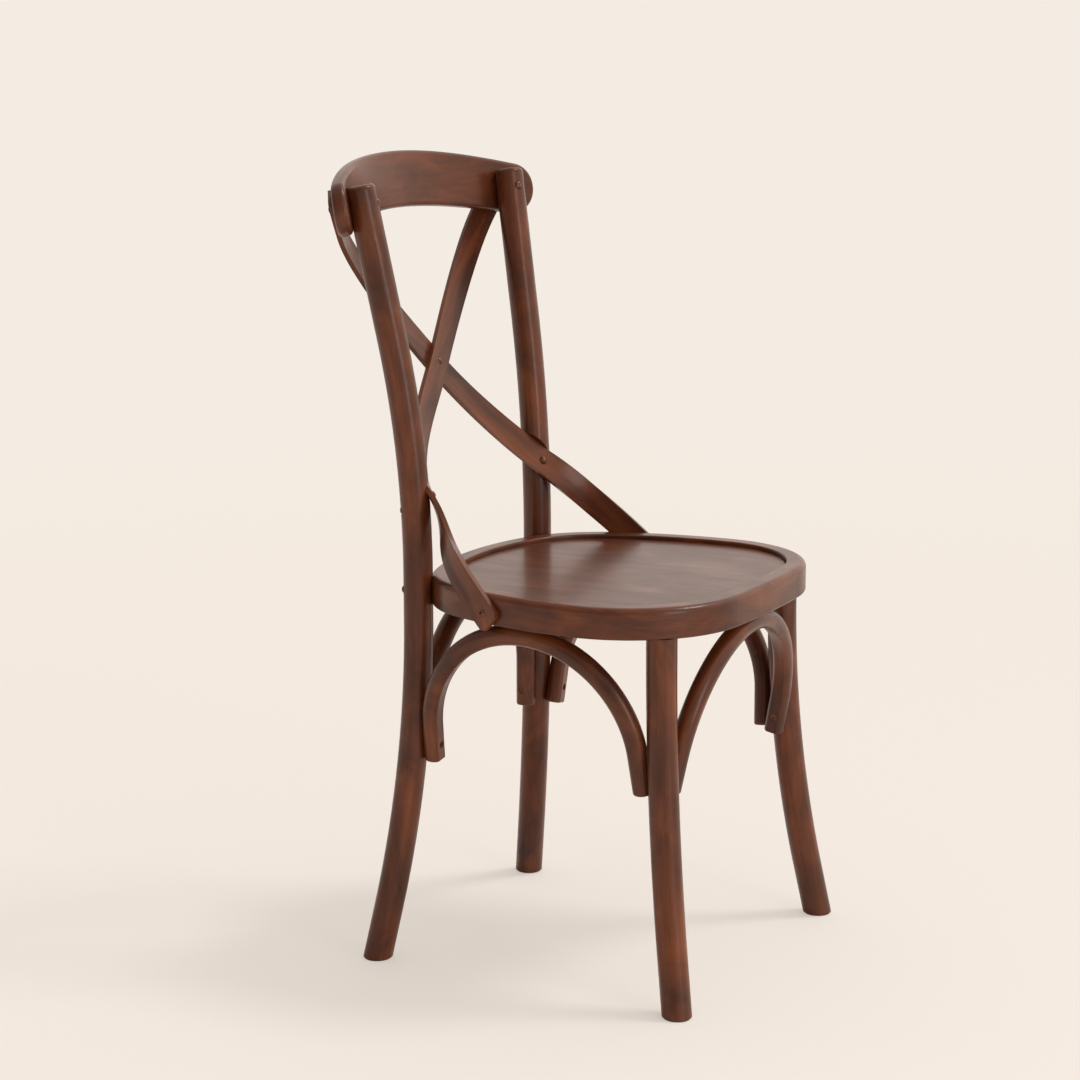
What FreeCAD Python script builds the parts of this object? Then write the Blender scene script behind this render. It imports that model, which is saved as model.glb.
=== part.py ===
import FreeCAD, Part
import Sketcher
import math
import os

from FreeCAD import Placement, Rotation, Vector

# Cross back dining chair of bent wood, in millimetres.
# The sitter faces -Y, +X is the sitter's left, and the floor is at z = 0.

os.makedirs("parts", exist_ok=True)
doc = FreeCAD.newDocument("CrossBackChair")
sheet = doc.addObject("Spreadsheet::Sheet", "Sizes")

# Driving dimensions: name, value, meaning.
driving_sizes = [
    ("seat_height", 450, "top of the seat frame above the floor"),
    ("seat_front", 250.3, "seat frame's front edge ahead of the origin"),
    ("seat_depth", 393.5, "seat frame, front edge to back edge"),
    ("seat_half_width", 216.7, "seat frame at its widest, from the middle"),
    ("seat_widest", 144.2, "widest line behind the front edge"),
    ("front_curve", 1225, "seat outline radius along the front"),
    ("front_corner", 139, "seat outline radius at the front corners"),
    ("side_curve", 421.6, "seat outline radius along the sides"),
    ("back_corner", 134.3, "seat outline radius at the back corners"),
    ("back_curve", 337.3, "seat outline radius along the back"),
    ("rim_height", 35, "seat frame, top to underside"),
    ("rim_width", 42, "seat frame, outside to opening"),
    ("rim_lip", 23, "seat frame's top, outside to rebate"),
    ("rim_top_round", 7, "outer top edge"),
    ("rim_under_round", 3, "outer lower edge"),
    ("rim_lip_round", 2, "edges of the rebate and opening"),
    ("panel_drop", 5, "seat panel below the frame's top"),
    ("panel_thick", 10, "seat panel"),
    ("panel_round", 1.5, "seat panel's edges"),
    ("panel_ease", 0.3, "gap round the seat panel"),
    ("post_foot_radius", 16.7, "rear post at the floor"),
    ("post_seat_radius", 16.9, "rear post at the seat"),
    ("post_top_radius", 17, "rear post at its top"),
    ("post_angle", 56.8, "rear post round the back corner, from the side"),
    ("post_notch", 1.5, "rear post let into the seat frame"),
    ("post_rise", 439, "rear post's top above the seat"),
    ("knee_drop", 50, "where legs and posts start to bend, below the seat's top"),
    ("post_low_rise", 340, "height of the lower bend"),
    ("post_kick", 13.4, "rear post's slope at the floor, degrees"),
    ("post_kick_turn", 40.6, "direction of the kick from the side, degrees"),
    ("post_high_rise", 270, "height of the upper bend"),
    ("post_rake", 11.3, "rear post's slope at its top, degrees"),
    ("post_rake_turn", 62.5, "direction of the lean from the side, degrees"),
    ("leg_foot_radius", 16.7, "front leg at the floor"),
    ("leg_top_radius", 17.1, "front leg under the seat"),
    ("leg_angle", 43.7, "front leg round the front corner, from the side"),
    ("leg_rise", 335, "height of the front leg's bend"),
    ("leg_splay", 12.6, "front leg's slope at the floor, degrees"),
    ("leg_splay_turn", 47.4, "direction of the splay from the side, degrees"),
    ("tenon_radius", 12.5, "front leg's round tenon"),
    ("tenon_length", 18, "front leg's round tenon"),
    ("tenon_ease", 0.1, "gap round the tenon"),
    ("foot_chamfer", 2, "edge of each foot"),
    ("post_top_round", 5, "edge of each post's top"),
    ("floor_cut_radius", 70, "room round a foot when it is sawn off"),
    ("floor_cut", 25, "length of rod that the floor cut takes off"),
    ("rail_radius", 430, "front of the crest rail in plan"),
    ("rail_thick", 16, "crest rail"),
    ("rail_half_width", 217, "crest rail's front face, middle to end"),
    ("rail_top", 60, "crest rail's top above the crest bolts, at the middle"),
    ("rail_height", 66, "crest rail at the middle"),
    ("rail_top_curve", 635, "crown of the upper edge"),
    ("rail_under_curve", 727, "crown of the lower edge"),
    ("rail_end_round", 29, "crest rail's rounded ends"),
    ("rail_edge_round", 5, "crest rail's edges"),
    ("rail_housing", 2.5, "post let into the crest rail"),
    ("crest_bolt_drop", 21, "crest bolt below the post's top"),
    ("seat_ease", 0.2, "gap between pieces that are clamped together"),
    ("strap_width", 32, "back strap"),
    ("strap_thick", 5.5, "back strap"),
    ("strap_clip", 5, "strap's clipped corners"),
    ("strap_ease", 0.4, "gap between a strap and the piece it is fixed to"),
    ("strap_slot", 16, "room in front of a strap's back, where a post is cut for it"),
    ("crossing_rise", 223, "where the straps cross, above the seat"),
    ("crossing_back", 432, "crossing behind the seat's front edge"),
    ("crossing_lean", 16, "lean of the straps at the crossing, degrees"),
    ("crossing_slope", 45, "climb of each strap at the crossing, degrees"),
    ("strap_upper_tip", 18.5, "strap beyond the crest bolt"),
    ("strap_leave", 36, "strap's run along the rail below the crest bolt"),
    ("strap_rise_swing", 0.7, "how far the strap swings back under the rail"),
    ("strap_bolt_rise", 80, "post bolt above the seat, on the post's axis"),
    ("strap_bolt_turn", 36.5, "post bolt from straight back, degrees"),
    ("strap_bolt_dip", 29.3, "post bolt below level, degrees"),
    ("strap_post_slope", 44.5, "strap's descent across the post, degrees"),
    ("strap_screw_drop", 21, "strap's end screw below the seat's top"),
    ("strap_screw_back", 255.5, "strap's end screw behind the seat's front edge"),
    ("strap_end_slope", 43.6, "strap's descent on the seat frame, degrees"),
    ("strap_lower_tip", 17, "strap beyond its end screw"),
    ("strap_shoulder_swing", 1, "how far the strap swings out below the post bolt"),
    ("strap_foot_swing", 2.7, "how far the strap swings out above its end screw"),
    ("arch_radius", 11.7, "round side of the arch's section"),
    ("arch_flat", 9.8, "arch's flat inner side from its centre line"),
    ("arch_grip_drop", 194, "where the limbs grip the legs, below the seat's top"),
    ("arch_limb", 20, "limb below the grip"),
    ("arch_notch", 1, "limb let round the leg"),
    ("arch_end_round", 2.5, "edges of an arch's ends"),
    ("bolt_radius", 3, "shank of the bolts"),
    ("bolt_ease", 0.2, "gap round a bolt in its hole"),
    ("bolt_head_radius", 5, "dome head of the bolts"),
    ("bolt_head_rise", 3, "dome head of the bolts"),
    ("nut_radius", 6, "dome of the cap nuts"),
    ("nut_rise", 3.2, "dome of the cap nuts"),
    ("nut_sleeve_radius", 4.2, "sleeve of the cap nuts"),
    ("nut_sleeve", 12, "sleeve of the cap nuts"),
    ("spot_depth", 1, "flat sunk round a bolt's head or nut in a post"),
    ("insert_radius", 5, "threaded insert"),
    ("insert_length", 13, "threaded insert"),
    ("insert_depth", 6, "threaded insert below the notch"),
    ("insert_thread_room", 2, "hole past the insert"),
    ("rivet_radius", 2.2, "crossing rivet's shank"),
    ("rivet_head_radius", 4, "crossing rivet's head"),
    ("rivet_head_rise", 1.8, "crossing rivet's head"),
    ("washer_radius", 6, "washer behind the crossing"),
    ("washer_thick", 1, "washer behind the crossing"),
    ("strap_screw_head", 4.2, "head radius of the strap's end screw"),
    ("strap_screw_rise", 2, "head of the strap's end screw"),
    ("strap_screw_length", 24, "strap's end screw under its head"),
    ("screw_radius", 2, "shank of the wood screws"),
    ("screw_ease", 0.1, "gap round a screw"),
    ("screw_head_radius", 4, "countersunk head"),
    ("screw_head_height", 2.6, "countersunk head"),
    ("screw_sink", 1.2, "countersunk head below the surface"),
    ("arch_screw_length", 32, "screws in the arches"),
    ("panel_screw_length", 26, "screws under the panel"),
    ("panel_screw_spread", 85, "panel screws from the middle line"),
    ("drive_radius", 1.6, "recess in a screw's head"),
    ("drive_depth", 1.2, "recess in a screw's head"),
    ("drill_spare", 1, "drilling past a surface"),
]

# Heights above the floor that follow from them.
derived_sizes = [
    ("post_height", "=seat_height + post_rise", "rear post's top"),
    ("crest_bolt_height", "=post_height - crest_bolt_drop", "crest bolt"),
    ("post_low_knee", "=seat_height - knee_drop", "start of the rear post's kick"),
    ("post_high_knee", "=seat_height", "start of the rear post's lean"),
    ("leg_knee", "=seat_height - knee_drop", "start of the front leg's splay"),
    ("crossing_height", "=seat_height + crossing_rise", "crossing of the straps"),
    ("strap_bolt_height", "=seat_height + strap_bolt_rise", "post bolt"),
    ("strap_screw_height", "=seat_height - strap_screw_drop", "strap's end screw"),
    ("arch_grip_height", "=seat_height - arch_grip_drop", "grip of the arches"),
]

for row, (alias, value, meaning) in enumerate(driving_sizes + derived_sizes, start=1):
    sheet.set("A%d" % row, meaning)
    sheet.set("B%d" % row, str(value))
    sheet.setAlias("B%d" % row, alias)
doc.recompute()

up = Vector(0, 0, 1)
down = Vector(0, 0, -1)
across = Vector(1, 0, 0)
sides = (("left", 1), ("right", -1))
hair = 0.01  # closeness of exact edges, in millimetres
near = 0.05  # the same for bent edges
loose = 0.5  # the same for an edge's length
end_reach = 1.2  # share of a rod's radius that holds the edges of its end


def size(alias):
    return float(sheet.get(alias))


def link(*aliases):
    # "a", "-b" becomes the expression Sizes.a-Sizes.b and its present value.
    text = ""
    value = 0.0
    for alias in aliases:
        name = alias.lstrip("-")
        sign = "-" if alias.startswith("-") else "+"
        text += sign + "Sizes." + name
        value += -size(name) if sign == "-" else size(name)
    return text.lstrip("+"), value


def sine(degrees):
    return math.sin(math.radians(degrees))


def cosine(degrees):
    return math.cos(math.radians(degrees))


def tangent(degrees):
    return math.tan(math.radians(degrees))


def heading(side, degrees):
    # Level direction on one side of the chair, turned from straight out towards the back.
    return Vector(side * cosine(degrees), sine(degrees), 0)


def origin_plane(body, role):
    return [item for item in body.Origin.OriginFeatures if item.Role == role][0]


def new_body(label, placement=None):
    body = doc.addObject("PartDesign::Body", label)
    body.Label = label
    body.Placement = placement or Placement()
    return body


def new_sketch(body, name, role, offset=None):
    sketch = body.newObject("Sketcher::SketchObject", name)
    sketch.AttachmentSupport = [(origin_plane(body, role), "")]
    sketch.MapMode = "FlatFace"
    sketch.AttachmentOffset = offset or Placement()
    return sketch


def bind(sketch, kind, *where, to, sign=1):
    # Adds one constraint whose value is an expression on the sheet.
    text, value = to
    index = sketch.addConstraint(Sketcher.Constraint(kind, *where, sign * value))
    sketch.setExpression("Constraints[%d]" % index, text if sign > 0 else "-(%s)" % text)


def circle_sketch(body, name, role, radius, offset=None):
    sketch = new_sketch(body, name, role, offset)
    circle = sketch.addGeometry(Part.Circle(Vector(), up, radius[1]))
    sketch.addConstraint(Sketcher.Constraint("Coincident", circle, 3, -1, 1))
    bind(sketch, "Radius", circle, to=radius)
    return sketch


def drill(body, name, start, direction, radius, length):
    # Round hole from a point of the chair, along a direction of the chair.
    turn = body.Placement.Rotation.inverted()
    hole = body.newObject("PartDesign::SubtractiveCylinder", name)
    hole.AttachmentSupport = [(origin_plane(body, "XY_Plane"), "")]
    hole.MapMode = "FlatFace"
    hole.AttachmentOffset = Placement(
        body.Placement.inverse().multVec(start), Rotation(up, turn.multVec(direction))
    )
    hole.Height = length
    hole.setExpression("Radius", radius[0])
    hole.Refine = False
    return hole


def level_holes(body, name, spots, radius, length, height):
    # Upright round holes from one level upwards, as one pocket.
    sketch = new_sketch(body, name + "Circles", "XY_Plane", Placement(up * height[1], Rotation()))
    sketch.setExpression("AttachmentOffset.Base.z", height[0])
    for spot in spots:
        hole = sketch.addGeometry(Part.Circle(Vector(spot.x, spot.y, 0), up, radius[1]))
        sketch.addConstraint(Sketcher.Constraint("DistanceX", -1, 1, hole, 3, spot.x))
        sketch.addConstraint(Sketcher.Constraint("DistanceY", -1, 1, hole, 3, spot.y))
        bind(sketch, "Radius", hole, to=radius)
    doc.recompute()
    before = body.Tip.Shape.Volume
    pocket = body.newObject("PartDesign::Pocket", name)
    pocket.Profile = sketch
    pocket.Reversed = True
    pocket.Refine = False
    pocket.setExpression("Length", length[0])
    doc.recompute()
    if pocket.Shape.Volume >= before:
        raise RuntimeError("nothing was cut by " + name)


def screw_cone(body, name, start, direction):
    # Conical seat under a screw's head, sunk from the surface point along the screw.
    turn = body.Placement.Rotation.inverted()
    ease = size("screw_ease")
    seat = body.newObject("PartDesign::SubtractiveCone", name)
    seat.AttachmentSupport = [(origin_plane(body, "XY_Plane"), "")]
    seat.MapMode = "FlatFace"
    seat.AttachmentOffset = Placement(
        body.Placement.inverse().multVec(start + direction * size("screw_sink")),
        Rotation(up, turn.multVec(direction)),
    )
    seat.Radius1 = size("screw_head_radius") + ease
    seat.Radius2 = size("screw_radius") + ease
    seat.setExpression("Height", link("screw_head_height")[0])
    seat.Refine = False


def countersink(body, name, start, direction):
    # Seat, mouth and pilot hole of a countersunk screw.
    screw_cone(body, name, start, direction)
    drill(body, name + "Mouth", start - direction * size("screw_sink"), direction,
          link("screw_head_radius", "screw_ease"), 2 * size("screw_sink"))
    drill(body, name + "Pilot", start, direction, link("screw_radius", "screw_ease"),
          size("arch_flat") + size("arch_radius") + size("rim_width"))


def edges_where(feature, test):
    return ["Edge%d" % number for number, edge in enumerate(feature.Shape.Edges, start=1) if test(edge)]


def round_edges(body, name, test, amount, kind="PartDesign::Fillet"):
    doc.recompute()
    base = body.Tip
    names = edges_where(base, test)
    if not names:
        raise RuntimeError("no edge found for " + name)
    feature = body.newObject(kind, name)
    feature.Base = (base, names)
    size_name = "Radius" if kind.endswith("Fillet") else "Size"
    feature.setExpression(size_name, link(amount)[0])
    doc.recompute()
    return feature


def on_floor(edge):
    return all(abs(vertex.Z) < hair for vertex in edge.Vertexes)


# Seat outline: four long arcs joined by four corner arcs, all tangent.

front_y = -size("seat_front")
back_y = front_y + size("seat_depth")
seat_under = size("seat_height") - size("rim_height")
side_center = Vector(size("seat_half_width") - size("side_curve"), front_y + size("seat_widest"), 0)
front_center = Vector(0, front_y + size("front_curve"), 0)
back_center = Vector(0, back_y - size("back_curve"), 0)


def corner_center(long_center, long_radius, radius, towards):
    # Centre of the corner arc that touches a long arc and the left side arc from inside.
    reach_long = long_radius - radius
    reach_side = size("side_curve") - radius
    gap = side_center - long_center
    along = (reach_long ** 2 - reach_side ** 2 + gap.Length ** 2) / (2 * gap.Length)
    beside = math.sqrt(reach_long ** 2 - along ** 2)
    line = Vector(gap).normalize()
    spots = [long_center + line * along + up.cross(line) * beside * turn for turn in (1, -1)]
    return max(spots, key=lambda spot: towards * spot.y)


front_corner_center = corner_center(front_center, size("front_curve"), size("front_corner"), -1)
back_corner_center = corner_center(back_center, size("back_curve"), size("back_corner"), 1)


def mirrored(point):
    return Vector(-point.x, point.y, point.z)


def bearing(start, end):
    return math.atan2(end.y - start.y, end.x - start.x)


def hoop_sketch(body, name, inset, offset):
    # The seat outline, moved inwards by an inset: every arc keeps its centre.
    sketch = new_sketch(body, name, "XY_Plane", offset)
    inset_text, inset_value = link(inset) if inset else ("0", 0)
    corner_f, corner_b = front_corner_center, back_corner_center
    turn_a = bearing(front_center, corner_f)
    turn_b = bearing(side_center, corner_f)
    turn_c = bearing(side_center, corner_b)
    turn_d = bearing(back_center, corner_b)
    half = math.pi
    arcs = [
        (front_center, "front_curve", -half - turn_a, turn_a),
        (corner_f, "front_corner", turn_a, turn_b),
        (side_center, "side_curve", turn_b, turn_c),
        (corner_b, "back_corner", turn_c, turn_d),
        (back_center, "back_curve", turn_d, half - turn_d),
        (mirrored(corner_b), "back_corner", half - turn_d, half - turn_c),
        (mirrored(side_center), "side_curve", half - turn_c, half - turn_b),
        (mirrored(corner_f), "front_corner", half - turn_b, half - turn_a),
    ]
    for number, (center, alias, first, last) in enumerate(arcs):
        radius = size(alias) - inset_value
        sketch.addGeometry(Part.ArcOfCircle(Part.Circle(center, up, radius), first, last))
        text = "Sizes.%s-(%s)" % (alias, inset_text)
        bind(sketch, "Radius", number, to=(text, radius))
    for number in range(len(arcs)):
        following = (number + 1) % len(arcs)
        sketch.addConstraint(Sketcher.Constraint("Tangent", number, 2, following, 1))
    for number in (0, 4):
        sketch.addConstraint(Sketcher.Constraint("PointOnObject", number, 3, -2))
        sketch.addConstraint(Sketcher.Constraint("DistanceY", -1, 1, number, 3, arcs[number][0].y))
    for number in (2, 6):
        center = arcs[number][0]
        sketch.addConstraint(Sketcher.Constraint("DistanceX", -1, 1, number, 3, center.x))
        sketch.addConstraint(Sketcher.Constraint("DistanceY", -1, 1, number, 3, center.y))
    return sketch


# Legs and posts: centre lines made of straight runs and bends that lie in upright planes.

def bend_radius(rise, slope):
    return size(rise) / sine(size(slope))


def bend_offset(rise, slope, drop):
    # Sideways travel at a height change past the knee.
    radius = bend_radius(rise, slope)
    if drop <= size(rise):
        return radius - math.sqrt(radius ** 2 - drop ** 2)
    return radius * (1 - cosine(size(slope))) + (drop - size(rise)) * tangent(size(slope))


def bend_slope(rise, slope, drop):
    return math.degrees(math.asin(min(drop, size(rise)) / bend_radius(rise, slope)))


def seat_point(side, corner, radius_alias, reach, angle):
    spot = corner + heading(1, angle) * (size(radius_alias) + reach)
    return Vector(side * spot.x, spot.y, 0)


def post_base(side):
    reach = size("post_seat_radius") - size("post_notch")
    return seat_point(side, back_corner_center, "back_corner", reach, size("post_angle"))


def leg_base(side):
    reach = -size("leg_top_radius")
    return seat_point(side, front_corner_center, "front_corner", reach, -size("leg_angle"))


def post_point(side, height):
    # Point and upward direction of a rear post's axis.
    base = post_base(side)
    if height < size("post_low_knee"):
        drop = size("post_low_knee") - height
        way = heading(side, size("post_kick_turn"))
        offset = bend_offset("post_low_rise", "post_kick", drop)
        slope = bend_slope("post_low_rise", "post_kick", drop)
        return base + way * offset + up * height, up * cosine(slope) - way * sine(slope)
    climb = max(0, height - size("post_high_knee"))
    way = heading(side, size("post_rake_turn"))
    offset = bend_offset("post_high_rise", "post_rake", climb)
    slope = bend_slope("post_high_rise", "post_rake", climb)
    return base + way * offset + up * height, up * cosine(slope) + way * sine(slope)


def leg_point(side, height):
    drop = max(0, size("leg_knee") - height)
    way = heading(side, -size("leg_splay_turn"))
    offset = bend_offset("leg_rise", "leg_splay", drop)
    slope = bend_slope("leg_rise", "leg_splay", drop)
    return leg_base(side) + way * offset + up * height, up * cosine(slope) - way * sine(slope)


def upright_frame(base, way):
    # Body frame whose X runs along a level direction.
    return Placement(base, Rotation(across, way))


def bend_path(body, name, start, knee, rise, slope, end, offset=None):
    # Straight run, bend and straight run in the plane above the body's X axis.
    sketch = new_sketch(body, name, "XZ_Plane", offset)
    way = 1 if end[1] > knee[1] else -1
    radius = bend_radius(rise, slope)
    angle = math.radians(size(slope))
    middle = Vector(radius, knee[1], 0)
    bend_end = Vector(radius - radius * math.cos(angle), knee[1] + way * size(rise), 0)
    reach = abs(end[1] - bend_end.y) * math.tan(angle)
    far_end = Vector(bend_end.x + reach, end[1], 0)
    first, last = (math.pi, math.pi + angle) if way < 0 else (math.pi - angle, math.pi)
    bend_in, bend_out = (1, 2) if way < 0 else (2, 1)
    stem = sketch.addGeometry(Part.LineSegment(Vector(0, start[1], 0), Vector(0, knee[1], 0)))
    bend = sketch.addGeometry(Part.ArcOfCircle(Part.Circle(middle, up, radius), first, last))
    tail = sketch.addGeometry(Part.LineSegment(bend_end, far_end))
    sketch.addConstraint(Sketcher.Constraint("Tangent", stem, 2, bend, bend_in))
    sketch.addConstraint(Sketcher.Constraint("Tangent", bend, bend_out, tail, 1))
    sketch.addConstraint(Sketcher.Constraint("PointOnObject", stem, 1, -2))
    sketch.addConstraint(Sketcher.Constraint("Vertical", stem))
    bind(sketch, "DistanceY", -1, 1, stem, 1, to=start)
    bind(sketch, "DistanceY", -1, 1, stem, 2, to=knee)
    bind(sketch, "Radius", bend, to=("Sizes.%s/sin(Sizes.%s)" % (rise, slope), radius))
    sign = "+" if way > 0 else "-"
    bind(sketch, "DistanceY", -1, 1, tail, 1, to=("%s%sSizes.%s" % (knee[0], sign, rise), bend_end.y))
    bind(sketch, "DistanceY", -1, 1, tail, 2, to=end)
    return sketch


def bent_rod(body, name, path, first_radius, last_radius, start):
    # Round rod along a path, tapering from its first to its last radius.
    base = Placement(up * start[1], Rotation())
    profile = circle_sketch(body, name + "Start", "XY_Plane", first_radius, offset=base)
    profile.setExpression("AttachmentOffset.Base.z", start[0])
    end = body.newObject("Sketcher::SketchObject", name + "End")
    end.AttachmentSupport = [(path, "Edge3")]
    end.MapMode = "NormalToEdge"
    end.MapPathParameter = 1.0
    ring = end.addGeometry(Part.Circle(Vector(), up, last_radius[1]))
    end.addConstraint(Sketcher.Constraint("Coincident", ring, 3, -1, 1))
    bind(end, "Radius", ring, to=last_radius)
    doc.recompute()
    rod = body.newObject("PartDesign::AdditivePipe", name)
    rod.Profile = profile
    rod.Spine = (path, ["Edge1", "Edge2", "Edge3"])
    rod.Sections = [(end, [""])]
    rod.Transformation = "Multisection"
    doc.recompute()
    return rod


def cut_at_floor(body, foot):
    # Saws off what reaches below the floor.
    start = Vector(foot.x, foot.y, 0)
    drill(body, "floorCut", start, down, link("floor_cut_radius"), 2 * size("floor_cut"))
    round_edges(body, "footEdge", on_floor, "foot_chamfer", "PartDesign::Chamfer")


def front_leg(name, side):
    way = heading(side, -size("leg_splay_turn"))
    body = new_body(name + "_front_leg", upright_frame(leg_base(side), way))
    shoulder = link("seat_height", "-rim_height")
    path = bend_path(body, "path", shoulder, link("leg_knee"), "leg_rise", "leg_splay",
                     link("-floor_cut"))
    bent_rod(body, "rod", path, link("leg_top_radius"), link("leg_foot_radius"), shoulder)
    tenon = circle_sketch(body, "tenonCircle", "XY_Plane", link("tenon_radius"))
    tenon.setExpression("AttachmentOffset.Base.z", shoulder[0])
    doc.recompute()
    pad = body.newObject("PartDesign::Pad", "tenon")
    pad.Profile = tenon
    pad.setExpression("Length", link("tenon_length")[0])
    cut_at_floor(body, leg_point(side, 0)[0])
    return body


def rear_post(name, side):
    low_way = heading(side, size("post_kick_turn"))
    body = new_body(name + "_rear_post", upright_frame(post_base(side), low_way))
    middle = link("seat_height", "-rim_height")
    low = bend_path(body, "lowPath", middle, link("post_low_knee"), "post_low_rise", "post_kick",
                    link("-floor_cut"))
    bent_rod(body, "lowRod", low, link("post_seat_radius"), link("post_foot_radius"), middle)
    turn = side * (size("post_rake_turn") - size("post_kick_turn"))
    offset = Placement(Vector(), Rotation(Vector(0, 1, 0), turn))
    high = bend_path(body, "highPath", middle, link("post_high_knee"), "post_high_rise", "post_rake",
                     link("post_height"), offset)
    bent_rod(body, "highRod", high, link("post_seat_radius"), link("post_top_radius"), middle)
    cut_at_floor(body, post_point(side, 0)[0])
    top = post_point(side, size("post_height"))[0]
    local_top = body.Placement.inverse().multVec(top)

    def at_top(edge):
        reach = end_reach * size("post_top_radius")
        return all((vertex.Point - local_top).Length < reach for vertex in edge.Vertexes)

    round_edges(body, "topEdge", at_top, "post_top_round")
    return body


# Bolt and screw axes: where each fastener starts and which way it runs.

post_rake_back = math.degrees(math.atan(tangent(size("post_rake")) * sine(size("post_rake_turn"))))


def rail_frame():
    # Leaning frame on the axis of the crest rail's bend, level with the crest bolts.
    post = post_point(1, size("crest_bolt_height"))[0]
    reach = size("rail_radius") + size("rail_housing") - size("post_top_radius")
    back = math.sqrt(reach ** 2 - post.x ** 2)
    center = Vector(0, post.y - back * cosine(post_rake_back), post.z + back * sine(post_rake_back))
    return Placement(center, Rotation(across, -post_rake_back))


def rail_point(side, angle, climb, radius):
    # Point and backward normal on a surface round the rail's bend.
    frame = rail_frame()
    out = Vector(side * math.sin(angle), math.cos(angle), 0)
    return frame.multVec(out * radius + up * climb), frame.Rotation.multVec(out)


def crest_angle():
    post = post_point(1, size("crest_bolt_height"))[0]
    local = rail_frame().inverse().multVec(post)
    return math.atan2(local.x, local.y)


def crest_axis(side):
    return rail_point(side, crest_angle(), 0, 0)[1]


def strap_bolt_axis(side):
    dip = size("strap_bolt_dip")
    turn = size("strap_bolt_turn")
    return Vector(side * sine(turn) * cosine(dip), cosine(turn) * cosine(dip), -sine(dip))


def rim_side_point(side, back, height, stand_off):
    # Point and outward normal on the seat frame's side.
    y = front_y + back
    angle = math.asin((y - side_center.y) / size("side_curve"))
    out = Vector(side * math.cos(angle), math.sin(angle), 0)
    center = Vector(side * side_center.x, side_center.y, height)
    return center + out * (size("side_curve") + stand_off), out


def crossing_point(layer):
    # Middle of a strap at the crossing; layer -1 is the front strap, 1 the rear one.
    lean = size("crossing_lean")
    normal = Vector(0, cosine(lean), -sine(lean))
    contact = Vector(0, front_y + size("crossing_back"), size("crossing_height"))
    return contact + normal * layer * (size("strap_thick") + size("strap_ease")) / 2, normal


def square_to(direction, normal):
    flat = direction - normal * direction.dot(normal)
    return flat.normalize()


def strap_knots(side, layer):
    # Points that the strap is fixed at, from its upper end to its lower end:
    # position, backward normal and direction of travel. Side is the lower end's side.
    half = size("strap_thick") / 2 + size("strap_ease")
    cross, cross_normal = crossing_point(layer)
    slope = size("crossing_slope")
    lean = size("crossing_lean")
    cross_way = Vector(side * cosine(slope), -sine(lean) * sine(slope), -cosine(lean) * sine(slope))
    radius = size("rail_radius") + size("rail_thick") + half
    angle = crest_angle()
    crest, crest_normal = rail_point(-side, angle, 0, radius)
    crest_way = square_to(cross - crest, crest_normal)
    local_way = rail_frame().Rotation.inverted().multVec(crest_way)
    sweep = math.sqrt(1 - local_way.z ** 2) / radius

    def on_rail(run):
        # Point and normal behind the rail, that far along the strap past the crest bolt.
        return rail_point(-side, angle - sweep * run, local_way.z * run, radius)

    upper, upper_normal = on_rail(-size("strap_upper_tip"))
    upper_way = square_to(crest - upper, upper_normal)
    leave, leave_normal = on_rail(size("strap_leave"))
    leave_way = square_to(leave - crest, leave_normal)
    post = post_point(side, size("strap_bolt_height"))[0]
    post_normal = strap_bolt_axis(side)
    grip = post - post_normal * (size("post_seat_radius") + half)
    level_way = up.cross(post_normal) * -side
    level_way.normalize()
    steep_way = post_normal.cross(level_way) * side
    descent = size("strap_post_slope")
    post_way = level_way * cosine(descent) + steep_way * sine(descent)
    back = size("strap_screw_back")
    height = size("strap_screw_height")
    screw, screw_normal = rim_side_point(side, back, height, half)
    end_slope = size("strap_end_slope")
    screw_way = Vector(side * screw_normal.y, -side * screw_normal.x, 0) * cosine(end_slope)
    screw_way = screw_way + down * sine(end_slope)
    run = size("strap_lower_tip")
    lower, lower_normal = rim_side_point(
        side, back - run * cosine(end_slope), height - run * sine(end_slope), half)
    lower_way = square_to(lower - screw, lower_normal)
    return [
        (upper, upper_normal, upper_way),
        (crest, crest_normal, crest_way),
        (leave, leave_normal, leave_way),
        (cross, cross_normal, cross_way),
        (grip, post_normal, post_way),
        (screw, screw_normal, screw_way),
        (lower, lower_normal, lower_way),
    ]


# From one knot to the next: stations, and how far the run swings out at its start and end.
strap_runs = (
    (2, None, None),
    (3, None, None),
    (8, "strap_rise_swing", "strap_rise_swing"),
    (7, None, None),
    (9, "strap_shoulder_swing", "strap_foot_swing"),
    (2, None, None),
)
foot_run = 4  # the run from the post bolt to the end screw
grip_station = sum(run[0] for run in strap_runs[:foot_run])


def strap_stations(side, layer):
    # Smooth run through the knots: position, normal and direction at each station.
    knots = strap_knots(side, layer)
    stations = []
    for number, (count, start_swing, end_swing) in enumerate(strap_runs):
        start, start_normal, start_way = knots[number]
        end, end_normal, end_way = knots[number + 1]
        reach = (end - start).Length
        start_pull = start_way * reach * (size(start_swing) if start_swing else 1)
        end_pull = end_way * reach * (size(end_swing) if end_swing else 1)
        first = 0 if number == 0 else 1
        for step in range(first, count + 1):
            t = step / count
            ease = t * t * (3 - 2 * t)
            spot = (start * (1 - ease) + end * ease
                    + start_pull * t * (1 - t) ** 2
                    - end_pull * t * t * (1 - t))
            way = ((end - start) * (6 * t * (1 - t))
                   + start_pull * (1 - 4 * t + 3 * t * t)
                   + end_pull * (3 * t * t - 2 * t))
            twist = ease if number != foot_run else 1 - (1 - t) ** 2
            normal = start_normal * (1 - twist) + end_normal * twist
            stations.append((spot, square_to(normal, Vector(way).normalize()), way.normalize()))
    return stations


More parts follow.
